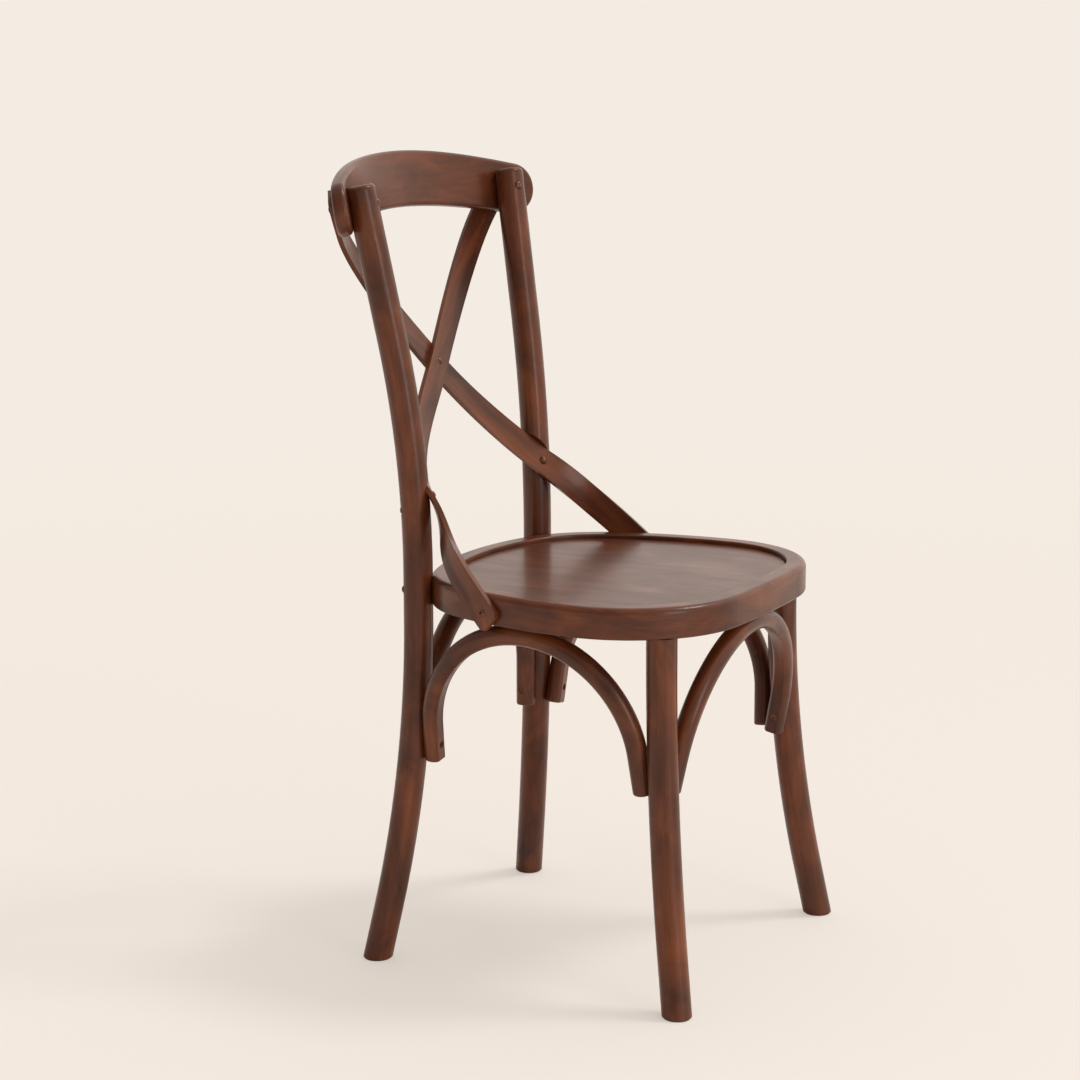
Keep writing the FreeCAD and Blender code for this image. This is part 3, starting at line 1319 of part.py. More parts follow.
def fasteners():
    thick = size("strap_thick")
    ease = size("seat_ease")
    radius = size("post_seat_radius")
    top_radius = size("post_top_radius")
    spot = size("spot_depth")
    made = []

    rail_back = size("rail_thick") - size("rail_housing") + top_radius
    crest_front = top_radius - spot
    crest_back = rail_back + size("strap_ease") + thick + ease
    spare = size("drill_spare")
    shank = crest_front + crest_back - size("screw_ease") - spare
    master = dome_fastener("crestBoltMaster", "bolt_head_radius", "bolt_head_rise", "bolt_radius",
                           (str(shank), shank))
    made.append(set_in_place("crest_bolts", master, crest_lines(-crest_front)))
    nut = cap_nut("capNutMaster")
    made.append(set_in_place("crest_nuts", nut, turned_back(crest_lines(crest_back))))

    strap_front = radius + size("strap_ease") + thick + ease
    strap_back = radius - spot
    grip = strap_front + strap_back - spare - size("screw_ease")
    master = dome_fastener("strapBoltMaster", "bolt_head_radius", "bolt_head_rise", "bolt_radius",
                           (str(grip), grip))
    made.append(set_in_place("strap_bolts", master, strap_lines(-strap_front)))
    made.append(set_in_place("strap_nuts", nut, turned_back(strap_lines(strap_back))))

    lines = [seat_bolt_line(side) for name, side in sides]
    length = 2 * radius - spot + size("insert_depth") + size("insert_length")
    master = dome_fastener("seatBoltMaster", "bolt_head_radius", "bolt_head_rise", "bolt_radius",
                           (str(length), length))
    made.append(set_in_place("seat_bolts", master, [(start + way * spot, way) for start, way in lines]))
    insert = ring("insertMaster", "insert_radius", "bolt_radius", "insert_length")
    deep = 2 * radius + size("insert_depth")
    made.append(set_in_place("seat_inserts", insert, [(start + way * deep, way) for start, way in lines]))

    front, normal = crossing_point(-1)
    back = crossing_point(1)[0]
    lift = size("screw_ease")
    stack = lift + (back - front).Length + thick + ease + size("washer_thick")
    rivet = dome_fastener("rivetMaster", "rivet_head_radius", "rivet_head_rise", "rivet_radius",
                          (str(stack), stack))
    head_seat = front - normal * (thick / 2 + lift)
    made.append(set_in_place("crossing_rivet", rivet, [(head_seat, normal)]))
    washer = ring("washerMaster", "washer_radius", "rivet_radius", "washer_thick")
    made.append(set_in_place("rivet_washer", washer, [(back + normal * (thick / 2 + ease), normal)]))

    screw = dimpled_fastener("strapScrewMaster", "strap_screw_head", "strap_screw_rise", "screw_radius",
                             link("strap_screw_length"))
    lines = []
    for name, side in sides:
        stand_off = thick + size("strap_ease") + ease
        place, out = rim_side_point(side, size("strap_screw_back"), size("strap_screw_height"), stand_off)
        lines.append((place, out * -1))
    made.append(set_in_place("strap_end_screws", screw, lines))

    arch_screw = wood_screw("archScrewMaster", "arch_screw_length")
    sink = size("screw_sink")
    lines = [(start + way * sink, way) for kind in arch_kinds for start, way in arch_end_screws(kind)]
    made.append(set_in_place("arch_end_screws", arch_screw, lines))
    lines = [(start + way * sink, way) for start, way in arch_top_screws()]
    made.append(set_in_place("arch_top_screws", arch_screw, lines))
    panel_screw = wood_screw("panelScrewMaster", "panel_screw_length")
    lines = [(start + up * sink, up) for start in panel_screw_spots()]
    made.append(set_in_place("panel_screws", panel_screw, lines))
    return made


arch_kinds = {
    "left_side": "left_side_arch",
    "right_side": "right_side_arch",
    "front": "front_arch",
    "rear": "rear_arch",
}

nodes = [seat_frame(), seat_panel(), crest_rail()]
for name, side in sides:
    post = rear_post(name, side)
    strap_slot(post, side)
    post_holes(post, side)
    leg_arch_holes(post, name, side, True)
    leg = front_leg(name, side)
    leg_arch_holes(leg, name, side, False)
    nodes += [post, leg]
nodes += [arch(kind, label) for kind, label in arch_kinds.items()]
nodes += [cross_strap("front_cross_strap", -1, -1), cross_strap("rear_cross_strap", 1, 1)]
nodes += fasteners()

doc.recompute()
for item in doc.Objects:
    if "Invalid" in item.State or "Error" in item.State:
        raise RuntimeError("failed feature: " + item.Name)
for node in nodes:
    if node.Shape.isNull() or not node.Shape.isValid():
        raise RuntimeError("bad shape: " + node.Label)
    print("%-20s solids %d volume %.0f" % (node.Label, len(node.Shape.Solids), node.Shape.Volume))
for node in nodes:
    node.Shape.exportStep("parts/%s.step" % node.Label)
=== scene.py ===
import math

import bmesh
import bpy
from mathutils import Euler, Matrix, Vector


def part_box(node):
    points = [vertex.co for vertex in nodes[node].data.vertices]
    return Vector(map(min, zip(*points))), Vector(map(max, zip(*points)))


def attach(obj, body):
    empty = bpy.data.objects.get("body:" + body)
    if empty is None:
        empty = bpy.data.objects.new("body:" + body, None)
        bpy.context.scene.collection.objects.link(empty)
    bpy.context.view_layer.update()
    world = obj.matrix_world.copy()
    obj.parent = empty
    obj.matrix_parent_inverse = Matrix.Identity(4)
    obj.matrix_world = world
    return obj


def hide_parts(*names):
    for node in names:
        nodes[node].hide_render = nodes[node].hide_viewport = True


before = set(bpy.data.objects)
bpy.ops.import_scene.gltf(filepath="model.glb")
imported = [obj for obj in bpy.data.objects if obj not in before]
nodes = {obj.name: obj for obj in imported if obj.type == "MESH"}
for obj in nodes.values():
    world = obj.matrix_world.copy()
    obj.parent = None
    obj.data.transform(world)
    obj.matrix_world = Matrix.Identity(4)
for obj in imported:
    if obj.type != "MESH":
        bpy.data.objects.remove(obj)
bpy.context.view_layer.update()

scene = bpy.context.scene
print("stage: frame loaded,", len(nodes), "nodes")


def rgb(red, green, blue):
    # 0-255 as a colour picker shows them, turned into the linear colour that Blender takes
    def linear(c):
        c = c / 255
        return c / 12.92 if c <= 0.04045 else ((c + 0.055) / 1.055) ** 2.4
    return (linear(red), linear(green), linear(blue), 1)


# camera
camera = {
    "place": (-2.7932, -1.4386, 1.0884),
    "turn": (78.96, 0.1, -62.06),   # degrees
    "lens": 92.0,
    "sensor": 36,
}

camData = bpy.data.cameras.new("camera")
camData.lens = camera["lens"]
camData.sensor_width = camera["sensor"]
camObject = bpy.data.objects.new("camera", camData)
camObject.location = camera["place"]
camObject.rotation_euler = [math.radians(a) for a in camera["turn"]]
scene.collection.objects.link(camObject)
scene.camera = camObject
scene.view_settings.view_transform = "Standard"


# small helpers for building node trees
def addNode(tree, kind, x=0, y=0, **settings):
    node = tree.nodes.new("ShaderNode" + kind)
    node.location = (x, y)
    for key, value in settings.items():
        setattr(node, key, value)
    return node


def wire(tree, source, target):
    tree.links.new(source, target)


def sums(tree, operation, first, second=None, third=None, x=0, y=0):
    # one Math node; numbers are typed in and sockets are wired
    node = addNode(tree, "Math", x, y, operation=operation)
    for socket, value in zip(node.inputs, (first, second, third)):
        if isinstance(value, (int, float)):
            socket.default_value = value
        elif value is not None:
            wire(tree, value, socket)
    return node.outputs[0]


def farOut(tree, a, b):
    # how far (a, b) is from the middle
    squares = sums(tree, "MULTIPLY_ADD", a, a, sums(tree, "MULTIPLY", b, b))
    return sums(tree, "SQRT", squares)


def ramp(tree, fac, stops, x=0, y=0):
    node = addNode(tree, "ValToRGB", x, y)
    wire(tree, fac, node.inputs["Fac"])
    elements = node.color_ramp.elements
    while len(elements) < len(stops):
        elements.new(0.5)
    for element, (place, colour) in zip(elements, stops):
        element.position = place
        element.color = colour
    return node.outputs["Color"]


def spread(tree, value, fromRange, toRange, x=0, y=0):
    node = addNode(tree, "MapRange", x, y)
    wire(tree, value, node.inputs["Value"])
    node.inputs["From Min"].default_value, node.inputs["From Max"].default_value = fromRange
    node.inputs["To Min"].default_value, node.inputs["To Max"].default_value = toRange
    return node.outputs["Result"]


def addBump(tree, height, strength, depth, x=0, y=0):
    node = addNode(tree, "Bump", x, y)
    node.inputs["Strength"].default_value = strength
    node.inputs["Distance"].default_value = depth
    wire(tree, height, node.inputs["Height"])
    return node.outputs["Normal"]


def newGroup(name, inputs, outputs):
    group = bpy.data.node_groups.new(name, "ShaderNodeTree")
    for way, sockets in (("INPUT", inputs), ("OUTPUT", outputs)):
        for label, kind in sockets:
            group.interface.new_socket(label, in_out=way, socket_type="NodeSocket" + kind)
    source = group.nodes.new("NodeGroupInput")
    source.location = (-900, 0)
    target = group.nodes.new("NodeGroupOutput")
    target.location = (900, 0)
    return group, source.outputs, target.inputs


def useGroup(tree, group, x=0, y=0):
    node = addNode(tree, "Group", x, y)
    node.node_tree = group
    return node


def newMaterial(name):
    material = bpy.data.materials.new(name)
    material.use_nodes = True
    return material, material.node_tree, material.node_tree.nodes["Principled BSDF"]


# measuring the pieces, so that new ones and the grain can follow them
def sidePoints(name, side):
    # a piece's points on one side of the chair, 1 or -1
    return [v.co for v in nodes[name].data.vertices if v.co.x * side > 0]


def planeCut(shape, spot, normal, clear=False):
    # the points and edges that a plane makes in a bmesh; clear takes off what is past it
    parts = shape.verts[:] + shape.edges[:] + shape.faces[:]
    cut = bmesh.ops.bisect_plane(shape, geom=parts, plane_co=spot, plane_no=normal, clear_outer=clear)
    return cut["geom_cut"]


def cutPoints(mesh, spot, normal):
    # where a plane cuts a piece
    copy = bmesh.new()
    copy.from_mesh(mesh)
    cut = planeCut(copy, spot, normal)
    points = [part.co.copy() for part in cut if isinstance(part, bmesh.types.BMVert)]
    copy.free()
    return points


def boxMiddle(points):
    ends = [(min(p[axis] for p in points), max(p[axis] for p in points)) for axis in range(3)]
    return Vector([(low + high) / 2 for low, high in ends])


def middles(mesh, count):
    # middles of level cuts, from the lowest to the highest
    inset = 0.006       # clear of the end faces
    low = min(v.co.z for v in mesh.vertices) + inset
    high = max(v.co.z for v in mesh.vertices) - inset
    step = (high - low) / (count - 1)
    heights = [low + step * number for number in range(count)]
    return [boxMiddle(cutPoints(mesh, (0, 0, height), (0, 0, 1))) for height in heights]


def turnInto(x, z):
    # degrees for a Mapping node that takes these two directions to X and Z
    euler = Matrix((x, z.cross(x), z)).to_euler("XYZ")
    return [math.degrees(a) for a in euler]


# the two back straps: the CAD strap down to its post bolt, and a new run from there to its lower end
strap = {
    "thick": 0.0055,
    "width": 0.032,
    "boltTurn": 36.5,           # the post bolt, degrees from straight back
    "boltDip": 29.3,            # and below level
    "boltDescent": 44.5,        # how steeply the strap crosses the post
    "boltRise": 0.003,          # dome of the post bolt
    "screwTurn": 15.3,          # the end screw, degrees from straight sideways
    "screwDescent": 43.6,
    "screwLength": 0.024,
    "clearance": 0.0002,
    "cut": 0.055,               # share of the run that the CAD strap keeps
    "cutSwing": (1.0, 2.7),     # how the CAD strap swings there, at the bolt and at the screw
    "swing": (1.2, 1.6),        # how the new run swings
    "bow": 0.004,               # and bows to the back, at its middle
    "twist": 1.8,               # above 1 it turns its face early
    "stations": 30,
    "tip": 0.017,               # from the end screw to the lower end
    "clip": 0.005,              # its clipped corners
    "sharpEdge": 32,            # degrees from which an edge is shaded sharp
    "mergeWithin": 0.00001,
}


def sectionAt(spot, normal, way):
    # X runs over the strap's width, Y out of its face and Z down its length
    normal = (normal - way * normal.dot(way)).normalized()
    place = Matrix((normal.cross(way), normal, way)).transposed().to_4x4()
    place.translation = spot
    return place


def boltSection(side):
    # the strap's section under its post bolt
    turn = math.radians(strap["boltTurn"])
    dip = math.radians(strap["boltDip"])
    descent = math.radians(strap["boltDescent"])
    bolt = Vector((side * math.sin(turn) * math.cos(dip),
                   math.cos(turn) * math.cos(dip),
                   -math.sin(dip)))
    top = min(sidePoints("strap_bolts", side), key=lambda p: p.dot(bolt))
    grip = top + bolt * (strap["boltRise"] + strap["clearance"] + strap["thick"] / 2)
    level = (Vector((0, 0, 1)).cross(bolt) * -side).normalized()
    way = level * math.cos(descent) + bolt.cross(level) * side * math.sin(descent)
    return sectionAt(grip, bolt, way)


def screwSection(side):
    # and under its end screw, which is found by the screw's inner end
    turn = math.radians(strap["screwTurn"])
    descent = math.radians(strap["screwDescent"])
    screw = Vector((side * math.cos(turn), math.sin(turn), 0))
    points = sidePoints("strap_end_screws", side)
    inmost = min(p.dot(screw) for p in points)
    tail = boxMiddle([p for p in points if p.dot(screw) < inmost + strap["clearance"]])
    seat = tail + screw * (strap["screwLength"] - strap["clearance"] - strap["thick"] / 2)
    way = Vector((side * screw.y, -side * screw.x, 0)) * math.cos(descent)
    way.z = -math.sin(descent)
    return sectionAt(seat, screw, way)


def strapSection(start, end, swing, bow, t):
    # the section a share t of the way down a run
    spots = [place.translation for place in (start, end)]
    normals = [place.to_3x3().col[1] for place in (start, end)]
    reach = (spots[1] - spots[0]).length
    pull = [place.to_3x3().col[2] * reach * amount for place, amount in zip((start, end), swing)]
    back = Vector((0, bow, 0)) * 16     # 16 t^2 (1 - t)^2 is 1 at the middle
    spot = spots[0].lerp(spots[1], t * t * (3 - 2 * t))
    spot += pull[0] * t * (1 - t) ** 2 - pull[1] * t * t * (1 - t) + back * t * t * (1 - t) ** 2
    way = (spots[1] - spots[0]) * 6 * t * (1 - t) + back * 2 * t * (1 - t) * (1 - 2 * t)
    way += pull[0] * (1 - 4 * t + 3 * t * t) + pull[1] * (3 * t * t - 2 * t)
    turned = 1 - (1 - t) ** strap["twist"]
    return sectionAt(spot, normals[0].lerp(normals[1], turned), way.normalized())


def lowerRun(name, side):
    screw = screwSection(side)
    place = strapSection(boltSection(side), screw, strap["cutSwing"], 0, strap["cut"])
    stations = [strapSection(place, screw, strap["swing"], strap["bow"], number / strap["stations"])
                for number in range(1, strap["stations"] + 1)]
    stations.append(screw @ Matrix.Translation((0, 0, strap["tip"] - strap["clip"])))
    narrow = Matrix.Scale(1 - 2 * strap["clip"] / strap["width"], 4, (1, 0, 0))
    stations.append(screw @ Matrix.Translation((0, 0, strap["tip"])) @ narrow)

    # cut the CAD strap off and close its end
    lath = bmesh.new()
    lath.from_mesh(nodes[name].data)
    bmesh.ops.remove_doubles(lath, verts=lath.verts, dist=strap["mergeWithin"])
    cut = planeCut(lath, place.translation, place.to_3x3().col[2], clear=True)
    rim = [part for part in cut if isinstance(part, bmesh.types.BMEdge)]
    end = bmesh.ops.contextual_create(lath, geom=rim)["faces"]

    # draw the end out through the stations
    for station in stations:
        out = bmesh.ops.extrude_face_region(lath, geom=end)["geom"]
        bmesh.ops.delete(lath, geom=end, context="FACES_ONLY")
        end = [part for part in out if isinstance(part, bmesh.types.BMFace)]
        for vert in {vert for face in end for vert in face.verts}:
            vert.co = station @ (place.inverted() @ vert.co)
        place = station
    bmesh.ops.recalc_face_normals(lath, faces=lath.faces)
    data = bpy.data.meshes.new(name + "_bent")
    lath.to_mesh(data)
    lath.free()
    data.shade_smooth()
    data.set_sharp_from_angle(angle=math.radians(strap["sharpEdge"]))
    data.materials.append(nodes[name].material_slots[0].material)
    piece = bpy.data.objects.new(name + "_bent", data)
    scene.collection.objects.link(piece)
    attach(piece, "root")
    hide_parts(name)


print("stage: back straps")
lowerRun("rear_cross_strap", 1)
lowerRun("front_cross_strap", -1)


# which way the wood runs: each group turns a place into across, depth and along, in metres
runLabels = ("Across", "Depth", "Along")


def newRun(name, *more):
    # also gives back the place's X, Y and Z, followed by any more inputs
    inputs = [("Vector", "Vector")] + [(label, "Float") for label in more]
    group, inside, out = newGroup(name, inputs, [(label, "Float") for label in runLabels])
    split = addNode(group, "SeparateXYZ", -700, 0)
    wire(group, inside["Vector"], split.inputs[0])
    return group, out, [*split.outputs, *(inside[label] for label in more)]


def endRun(group, out, *values):
    for label, value in zip(runLabels, values):
        wire(group, value, out[label])
    return group


def straightRun():
    group, out, (x, y, z) = newRun("straightRun")
    return endRun(group, out, x, y, z)


# how many level cuts the grain follows in each bent piece
levelCuts = {
    "left_rear_post": 14,
    "right_rear_post": 14,
    "left_front_leg": 8,
    "right_front_leg": 8,
    "rear_cross_strap_bent": 18,
    "front_cross_strap_bent": 18,
}


def bentRun(piece):
    # follows a piece whose middle shifts sideways with its height
    reach = 0.25        # the curves hold shifts up to this, metres
    course = middles(piece.data, levelCuts[piece.name])
    low, high = course[0].z, course[-1].z
    group, out, (x, y, z) = newRun("run_" + piece.name)
    place = spread(group, z, (low, high), (0, 1), -500, -200)
    shifted = []
    for axis, source, row in ((0, x, 200), (1, y, -200)):
        curve = addNode(group, "FloatCurve", -250, row)
        points = curve.mapping.curves[0].points
        while len(points) < len(course):
            points.new(0.5, 0.5)
        for point, middle in zip(points, course):
            point.location = ((middle.z - low) / (high - low), middle[axis] / reach / 2 + 0.5)
        curve.mapping.update()
        wire(group, place, curve.inputs["Value"])
        middleHere = sums(group, "MULTIPLY_ADD", curve.outputs[0], 2 * reach, -reach, 50, row)
        shifted.append(sums(group, "SUBTRACT", source, middleHere, x=300, y=row))
    return endRun(group, out, *shifted, z)


def archRun():
    # half circle above z = 0 and straight limbs below it
    group, out, (x, y, z, radius) = newRun("archRun", "Radius")
    above = sums(group, "MAXIMUM", z, 0, x=-500, y=100)
    below = sums(group, "MINIMUM", z, 0, x=-500, y=-100)
    angle = sums(group, "ARCTAN2", above, x, x=-200, y=-200)
    limb = sums(group, "MULTIPLY", sums(group, "SIGN", x), below)
    along = sums(group, "MULTIPLY_ADD", angle, radius, limb)
    return endRun(group, out, farOut(group, x, above), y, along)


def roundRun():
    # circles round the Z axis, for the bent rail
    group, out, (x, y, z, radius) = newRun("roundRun", "Radius")
    along = sums(group, "MULTIPLY", sums(group, "ARCTAN2", x, y), radius)
    return endRun(group, out, z, farOut(group, x, y), along)


def rimRun():
    # rings that follow the seat's outline: the farthest of four large circles, blended at the corners
    rim = {
        "front": 1.225,         # radius of the outline along the front
        "back": 0.3373,
        "side": 0.4216,
        "widest": 0.1442,       # widest line behind the front edge
        "cornerBlend": 0.09,
        "turnRadius": 0.2,
    }
    low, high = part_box("seat_frame")
    group, out, (x, y, z) = newRun("rimRun")
    wide = sums(group, "ABSOLUTE", x)

    def outside(radius, fromX, centerX, centerY):
        dx = sums(group, "SUBTRACT", fromX, centerX)
        dy = sums(group, "SUBTRACT", y, centerY)
        return sums(group, "SUBTRACT", farOut(group, dx, dy), radius)

    front = outside(rim["front"], x, 0, low.y + rim["front"])
    back = outside(rim["back"], x, 0, high.y - rim["back"])
    side = outside(rim["side"], wide, high.x - rim["side"], low.y + rim["widest"])
    ends = sums(group, "MAXIMUM", front, back)
    ring = sums(group, "SMOOTH_MAX", ends, side, rim["cornerBlend"])
    fromMiddle = sums(group, "SUBTRACT", y, (low.y + high.y) / 2)
    angle = sums(group, "ARCTAN2", x, fromMiddle)
    along = sums(group, "MULTIPLY", angle, rim["turnRadius"])
    return endRun(group, out, ring, z, along)


# the grain: how often each pattern changes in a metre, across the wood and along it
grainSizes = {
    "Fibres": {"across": 900, "along": 24, "detail": 3, "rough": 0.6, "bent": 0.0},
    "Streaks": {"across": 120, "along": 3.5, "detail": 4, "rough": 0.6, "bent": 0.3},
    "Clouds": {"across": 26, "along": 11, "detail": 3, "rough": 0.55, "bent": 0.6},
}
noiseRange = (0.3, 0.7)         # where most of a noise lies
fibreRange = (0.35, 0.65)


def beechGrain():
    # fine fibres, growth streaks and clouds in the stain, all drawn out along the piece
    inputs = [(label, "Float") for label in (*runLabels, "Shift")]
    group, inside, out = newGroup("beechGrain", inputs, [(label, "Float") for label in grainSizes])
    for (label, size), y in zip(grainSizes.items(), (400, 0, -400)):
        place = addNode(group, "CombineXYZ", -200, y)
        across = sums(group, "MULTIPLY", inside["Across"], size["across"], x=-400, y=y + 80)
        depth = sums(group, "MULTIPLY", inside["Depth"], size["across"], x=-400, y=y)
        along = sums(group, "MULTIPLY_ADD", inside["Along"], size["along"], inside["Shift"],
                     x=-400, y=y - 80)
        for socket, value in zip(place.inputs, (across, depth, along)):
            wire(group, value, socket)
        node = addNode(group, "TexNoise", 0, y)
        node.inputs["Scale"].default_value = 1
        node.inputs["Detail"].default_value = size["detail"]
        node.inputs["Roughness"].default_value = size["rough"]
        node.inputs["Distortion"].default_value = size["bent"]
        wire(group, place.outputs[0], node.inputs["Vector"])
        wire(group, node.outputs[0], out[label])
    return group


print("stage: grain groups")
grain = beechGrain()
straight, arched, rounded, rimmed = straightRun(), archRun(), roundRun(), rimRun()


stain = {
    "dark": (56, 25, 12),           # where the stain gathers
    "middle": (90, 44, 21),
    "light": (119, 62, 30),
    "toneReach": 0.2,               # from the middle of the noise to the dark and light ends
    "cloud": 0.9,                   # contrast of the stain's clouds
    "railCloud": 0.55,              # calmer on the rail's wide face
    "veneerCloud": 0.4,             # and on the seat panel
    "streak": 0.18,                 # growth streaks on the solid pieces
    "veneerStreak": 0.07,
    "fibre": 0.14,                  # how dark the fine fibres are
    "roughness": (0.45, 0.36),      # where the stain is dark, and where it is light
    "coat": 0.40,
    "coatRoughness": 0.20,
    "specular": 0.18,
    "bump": 0.10,
    "bumpDepth": 0.0004,
}


# where each piece lies in the grain's pattern, so that no two look the same
grainShift = {
    "left_side_arch": 0.0,
    "right_side_arch": 3.1,
    "front_arch": 6.2,
    "rear_arch": 9.3,
    "left_rear_post": 11.3,
    "right_rear_post": 16.0,
    "left_front_leg": 20.7,
    "right_front_leg": 25.4,
    "rear_cross_strap_bent": 30.1,
    "front_cross_strap_bent": 34.8,
    "crest_rail": 41.5,
    "seat_frame": 47.6,
    "seat_panel": 52.3,
}


def stainedWood(name, run, place=None, turn=None, radius=None,
                cloud=stain["cloud"], streak=stain["streak"]):
    # walnut stain under satin lacquer; run says how the grain follows the piece
    material, tree, shader = newMaterial("wood_" + name)
    shader.location = (900, 0)
    tree.nodes["Material Output"].location = (1200, 0)
    vector = addNode(tree, "TexCoord", -1600, 0).outputs["Object"]
    if place:
        # to the piece's own middle
        centred = addNode(tree, "VectorMath", -1400, 0, operation="SUBTRACT")
        centred.inputs[1].default_value = place
        wire(tree, vector, centred.inputs[0])
        vector = centred.outputs[0]
    if turn:
        mapping = addNode(tree, "Mapping", -1200, 0, vector_type="POINT")
        mapping.inputs["Rotation"].default_value = [math.radians(a) for a in turn]
        wire(tree, vector, mapping.inputs["Vector"])
        vector = mapping.outputs[0]
    course = useGroup(tree, run, -950, 0)
    if radius:
        course.inputs["Radius"].default_value = radius
    wire(tree, vector, course.inputs["Vector"])
    figure = useGroup(tree, grain, -700, 0)
    figure.inputs["Shift"].default_value = grainShift[name]
    for label in runLabels:
        wire(tree, course.outputs[label], figure.inputs[label])
    clouds = figure.outputs["Clouds"]
    toEnd = stain["toneReach"] / cloud
    base = ramp(tree, clouds, [
        (0.5 - toEnd, rgb(*stain["dark"])),
        (0.5, rgb(*stain["middle"])),
        (0.5 + toEnd, rgb(*stain["light"]))], -400, 200)
    fibre = stain["fibre"]
    streaks = spread(tree, figure.outputs["Streaks"], noiseRange, (1 - streak, 1 + streak), -400, -100)
    fibres = spread(tree, figure.outputs["Fibres"], fibreRange, (1 - fibre, 1 + fibre), -400, -300)
    marks = sums(tree, "MULTIPLY", streaks, fibres, x=-150, y=-200)
    darken = addNode(tree, "VectorMath", 200, 200, operation="SCALE")
    wire(tree, base, darken.inputs[0])
    wire(tree, marks, darken.inputs["Scale"])
    wire(tree, darken.outputs[0], shader.inputs["Base Color"])
    gloss = spread(tree, clouds, noiseRange, stain["roughness"], 0, -200)
    wire(tree, gloss, shader.inputs["Roughness"])
    shader.inputs["Coat Weight"].default_value = stain["coat"]
    shader.inputs["Coat Roughness"].default_value = stain["coatRoughness"]
    shader.inputs["Specular IOR Level"].default_value = stain["specular"]
    bump = addBump(tree, marks, stain["bump"], stain["bumpDepth"], 500, -300)
    wire(tree, bump, shader.inputs["Normal"])
    return material


bronze = {
    "colour": (84, 47, 32),
    "colourUpTo": 0.4,          # of the noise
    "worn": (146, 95, 66),
    "wornFrom": 0.75,
    "roughness": (0.24, 0.40),
    "metallic": 0.6,
    "grain": 420,               # per metre
    "detail": 4,
    "bump": 0.15,
    "bumpDepth": 0.0002,
}


def darkBronze():
    material, tree, shader = newMaterial("dark_bronze")
    coordinate = addNode(tree, "TexCoord", -900, 0)
    noise = addNode(tree, "TexNoise", -700, 0)
    noise.inputs["Scale"].default_value = bronze["grain"]
    noise.inputs["Detail"].default_value = bronze["detail"]
    wire(tree, coordinate.outputs["Object"], noise.inputs["Vector"])
    tone = ramp(tree, noise.outputs[0], [
        (bronze["colourUpTo"], rgb(*bronze["colour"])),
        (bronze["wornFrom"], rgb(*bronze["worn"]))], -400, 100)
    wire(tree, tone, shader.inputs["Base Color"])
    gloss = spread(tree, noise.outputs[0], noiseRange, bronze["roughness"], -400, -200)
    wire(tree, gloss, shader.inputs["Roughness"])
    shader.inputs["Metallic"].default_value = bronze["metallic"]
    bump = addBump(tree, noise.outputs[0], bronze["bump"], bronze["bumpDepth"], -200, -400)
    wire(tree, bump, shader.inputs["Normal"])
    return material


def dress(piece, material):
    for slot in piece.material_slots:
        slot.material = material


def dressBent(piece):
    dress(piece, stainedWood(piece.name, bentRun(piece)))


arch = {
    "foot": 0.02,           # height of the limbs' ends that is measured
    "crown": 0.004,         # and of the crown
    "rod": 0.0117,          # from the crown's middle there to the rod's axis
}


def dressArch(piece):
    # the arch's plane and circle, from the ends of its limbs and the top of its crown
    low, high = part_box(piece.name)
    points = [v.co for v in piece.data.vertices]
    axis = 0 if high.x - low.x > high.y - low.y else 1
    halfway = (low[axis] + high[axis]) / 2
    feet = [p for p in points if p.z < low.z + arch["foot"]]
    first = boxMiddle([p for p in feet if p[axis] > halfway])
    second = boxMiddle([p for p in feet if p[axis] < halfway])
    crown = boxMiddle([p for p in points if p.z > high.z - arch["crown"]])
    along = (first - second).normalized()
    rise = crown - (first + second) / 2
    rise = (rise - along * rise.dot(along)).normalized()
    radius = (first - second).length / 2
    center = crown - rise * (radius + arch["rod"])
    turn = turnInto(along, rise)
    dress(piece, stainedWood(piece.name, arched, place=center, turn=turn, radius=radius))


def dressRail(piece):
    # the rail's lean and bend, from its middle section and its ends
    endDepth = 0.002        # how much of its end is measured
    across = Vector((1, 0, 0))
    section = cutPoints(piece.data, (0, 0, 0), across)
    top = max(section, key=lambda p: p.z)
    bottom = min(section, key=lambda p: p.z)
    middle = boxMiddle(section)
    rise = Vector((0, top.y - bottom.y, top.z - bottom.z)).normalized()
    back = rise.cross(across)
    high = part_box(piece.name)[1]
    end = boxMiddle([v.co for v in piece.data.vertices if v.co.x > high.x - endDepth])
    sag = (middle - end).dot(back)
    radius = (end.x ** 2 + sag ** 2) / (2 * sag)
    dress(piece, stainedWood(piece.name, rounded, place=middle - back * radius,
                             turn=turnInto(across, rise), radius=radius, cloud=stain["railCloud"]))


print("stage: wood")
for name in ("left_side_arch", "right_side_arch", "front_arch", "rear_arch"):
    dressArch(nodes[name])
for name in levelCuts:
    dressBent(bpy.data.objects[name])
dressRail(nodes["crest_rail"])
dress(nodes["seat_frame"], stainedWood("seat_frame", rimmed))
dress(nodes["seat_panel"], stainedWood("seat_panel", straight, turn=(90, 0, 0),
                                       cloud=stain["veneerCloud"], streak=stain["veneerStreak"]))

print("stage: metal")
metal = darkBronze()
for node in nodes.values():
    if node.material_slots[0].material.name.startswith("bronzed"):
        dress(node, metal)


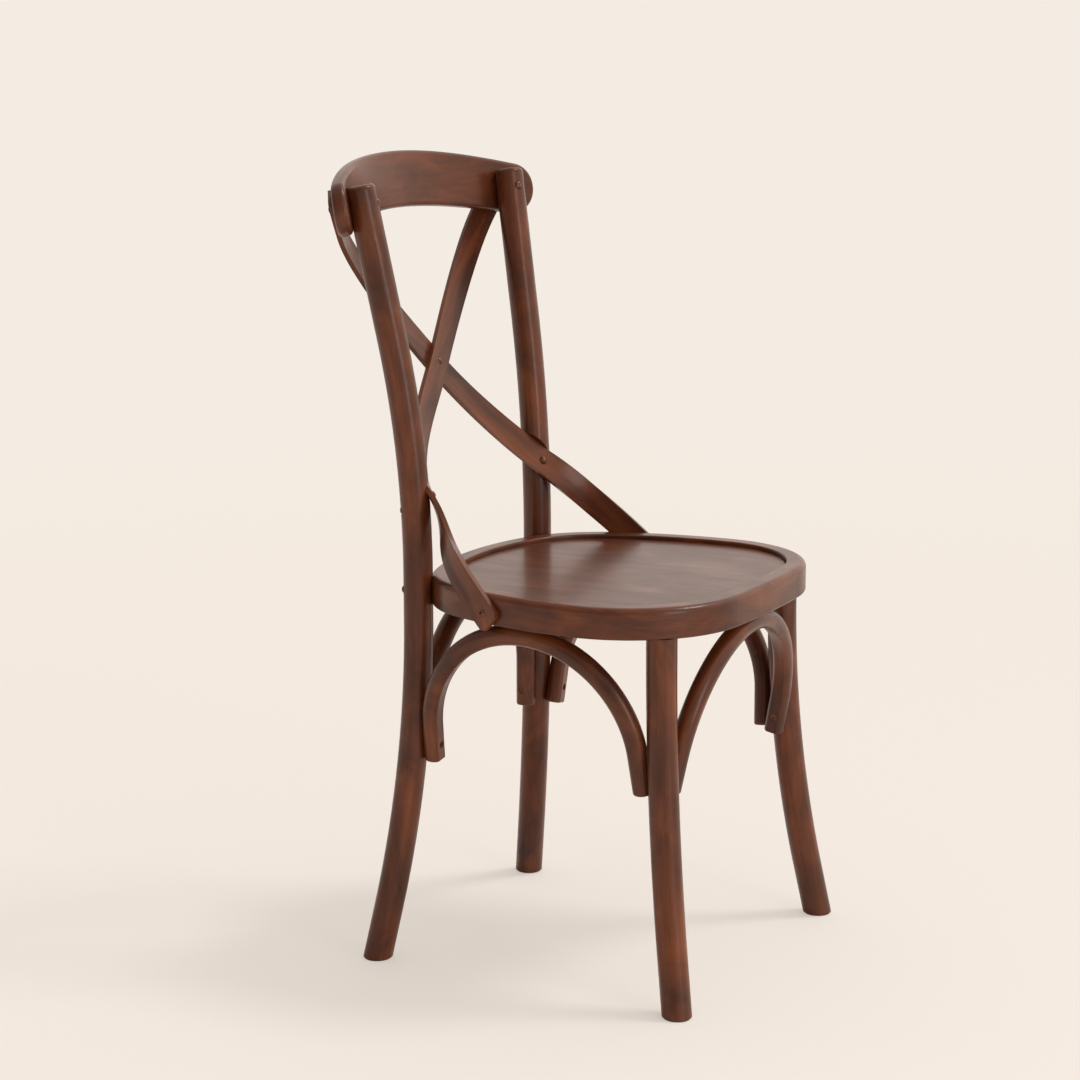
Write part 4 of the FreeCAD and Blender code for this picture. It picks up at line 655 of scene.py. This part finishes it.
# floor and light
studio = {
    "ground": (243, 236, 230),
    "groundSize": 60,           # metres from its middle to its edge
    "groundRoughness": 0.9,
    "groundSpecular": 0.1,
    "backdrop": (244, 236, 227),
    "veil": 0.50,               # how far the floor near the chair takes the backdrop's colour
    "veilRange": (1.5, 5.0),    # metres from the chair where the veil starts to grow and is whole
    "fillFar": 1.25,            # behind the chair, to the right
    "fillNear": 0.38,           # round the camera, to the left
    "fillTurn": 55,             # degrees clockwise from the camera to the dimmest side
    "fillRange": (-0.8, 0.8),   # how much of the way round the change takes, at most -1 to 1
    "key": 1.0,
    "keySpread": 16,            # degrees
    "keyFrom": (0.9, -1.2, 2.2),
    "softbox": 14,              # watts; a tall lamp, for the streak on the rods
    "softboxAt": (-1.04, -2.79, 1.1),
    "softboxWide": 0.9,
    "softboxTall": 1.7,
}


def makeGround():
    # a matt floor that the camera sees veiled in the backdrop's colour, so that it has no horizon
    ground, tree, shader = newMaterial("ground")
    shader.inputs["Base Color"].default_value = rgb(*studio["ground"])
    shader.inputs["Roughness"].default_value = studio["groundRoughness"]
    shader.inputs["Specular IOR Level"].default_value = studio["groundSpecular"]
    coordinate = addNode(tree, "TexCoord", -900, 300)
    distance = addNode(tree, "VectorMath", -700, 300, operation="LENGTH")
    wire(tree, coordinate.outputs["Object"], distance.inputs[0])
    veil = spread(tree, distance.outputs["Value"], studio["veilRange"], (studio["veil"], 1), -500, 300)
    paths = addNode(tree, "LightPath", -500, 550)
    seen = sums(tree, "MULTIPLY", veil, paths.outputs["Is Camera Ray"], x=-250, y=350)
    glow = addNode(tree, "Emission", -50, 200)
    glow.inputs["Color"].default_value = rgb(*studio["backdrop"])
    blend = addNode(tree, "MixShader", 300, 250)
    wire(tree, seen, blend.inputs["Fac"])
    wire(tree, shader.outputs["BSDF"], blend.inputs[1])
    wire(tree, glow.outputs[0], blend.inputs[2])
    wire(tree, blend.outputs[0], tree.nodes["Material Output"].inputs["Surface"])
    return ground


def layFloor():
    grid = bmesh.new()
    bmesh.ops.create_grid(grid, x_segments=1, y_segments=1, size=studio["groundSize"])
    data = bpy.data.meshes.new("floor")
    grid.to_mesh(data)
    grid.free()
    floor = bpy.data.objects.new("floor", data)
    scene.collection.objects.link(floor)
    data.materials.append(makeGround())


def lightRoom():
    # brightest behind the chair to the right, dimmest at the camera's left; the camera sees it plain
    world = bpy.data.worlds.new("world")
    scene.world = world
    world.use_nodes = True
    sky = world.node_tree
    sky.nodes.clear()
    backdrop = addNode(sky, "Background", -200, 200)
    backdrop.inputs["Color"].default_value = rgb(*studio["backdrop"])
    direction = addNode(sky, "TexCoord", -900, -100).outputs["Generated"]
    dim = Vector((camera["place"][0], camera["place"][1], 0)).normalized()
    dim.rotate(Euler((0, 0, -math.radians(studio["fillTurn"]))))
    toDim = addNode(sky, "VectorMath", -700, -100, operation="DOT_PRODUCT")
    toDim.inputs[1].default_value = dim
    wire(sky, direction, toDim.inputs[0])
    strength = spread(sky, toDim.outputs["Value"], studio["fillRange"],
                      (studio["fillFar"], studio["fillNear"]), -450, -100)
    fill = addNode(sky, "Background", -200, -100)
    fill.inputs["Color"].default_value = rgb(*studio["backdrop"])
    wire(sky, strength, fill.inputs["Strength"])
    paths = addNode(sky, "LightPath", -450, 400)
    choose = addNode(sky, "MixShader", 0, 0)
    wire(sky, paths.outputs["Is Camera Ray"], choose.inputs["Fac"])
    wire(sky, fill.outputs[0], choose.inputs[1])
    wire(sky, backdrop.outputs[0], choose.inputs[2])
    wire(sky, choose.outputs[0], addNode(sky, "OutputWorld", 200, 0).inputs["Surface"])


def hangKey():
    data = bpy.data.lights.new("key", "SUN")
    data.energy = studio["key"]
    data.angle = math.radians(studio["keySpread"])
    key = bpy.data.objects.new("key", data)
    key.rotation_euler = Vector(studio["keyFrom"]).to_track_quat("Z", "Y").to_euler()
    scene.collection.objects.link(key)


def hangSoftbox():
    data = bpy.data.lights.new("softbox", "AREA")
    data.shape = "RECTANGLE"
    data.size = studio["softboxWide"]
    data.size_y = studio["softboxTall"]
    data.energy = studio["softbox"]
    softbox = bpy.data.objects.new("softbox", data)
    softbox.location = studio["softboxAt"]
    away = softbox.location * Vector((1, 1, 0))     # it stands upright and faces the chair
    softbox.rotation_euler = away.to_track_quat("Z", "Y").to_euler()
    softbox.visible_camera = False
    scene.collection.objects.link(softbox)


print("stage: floor and light")
layFloor()
lightRoom()
hangKey()
hangSoftbox()

print("stage: done")
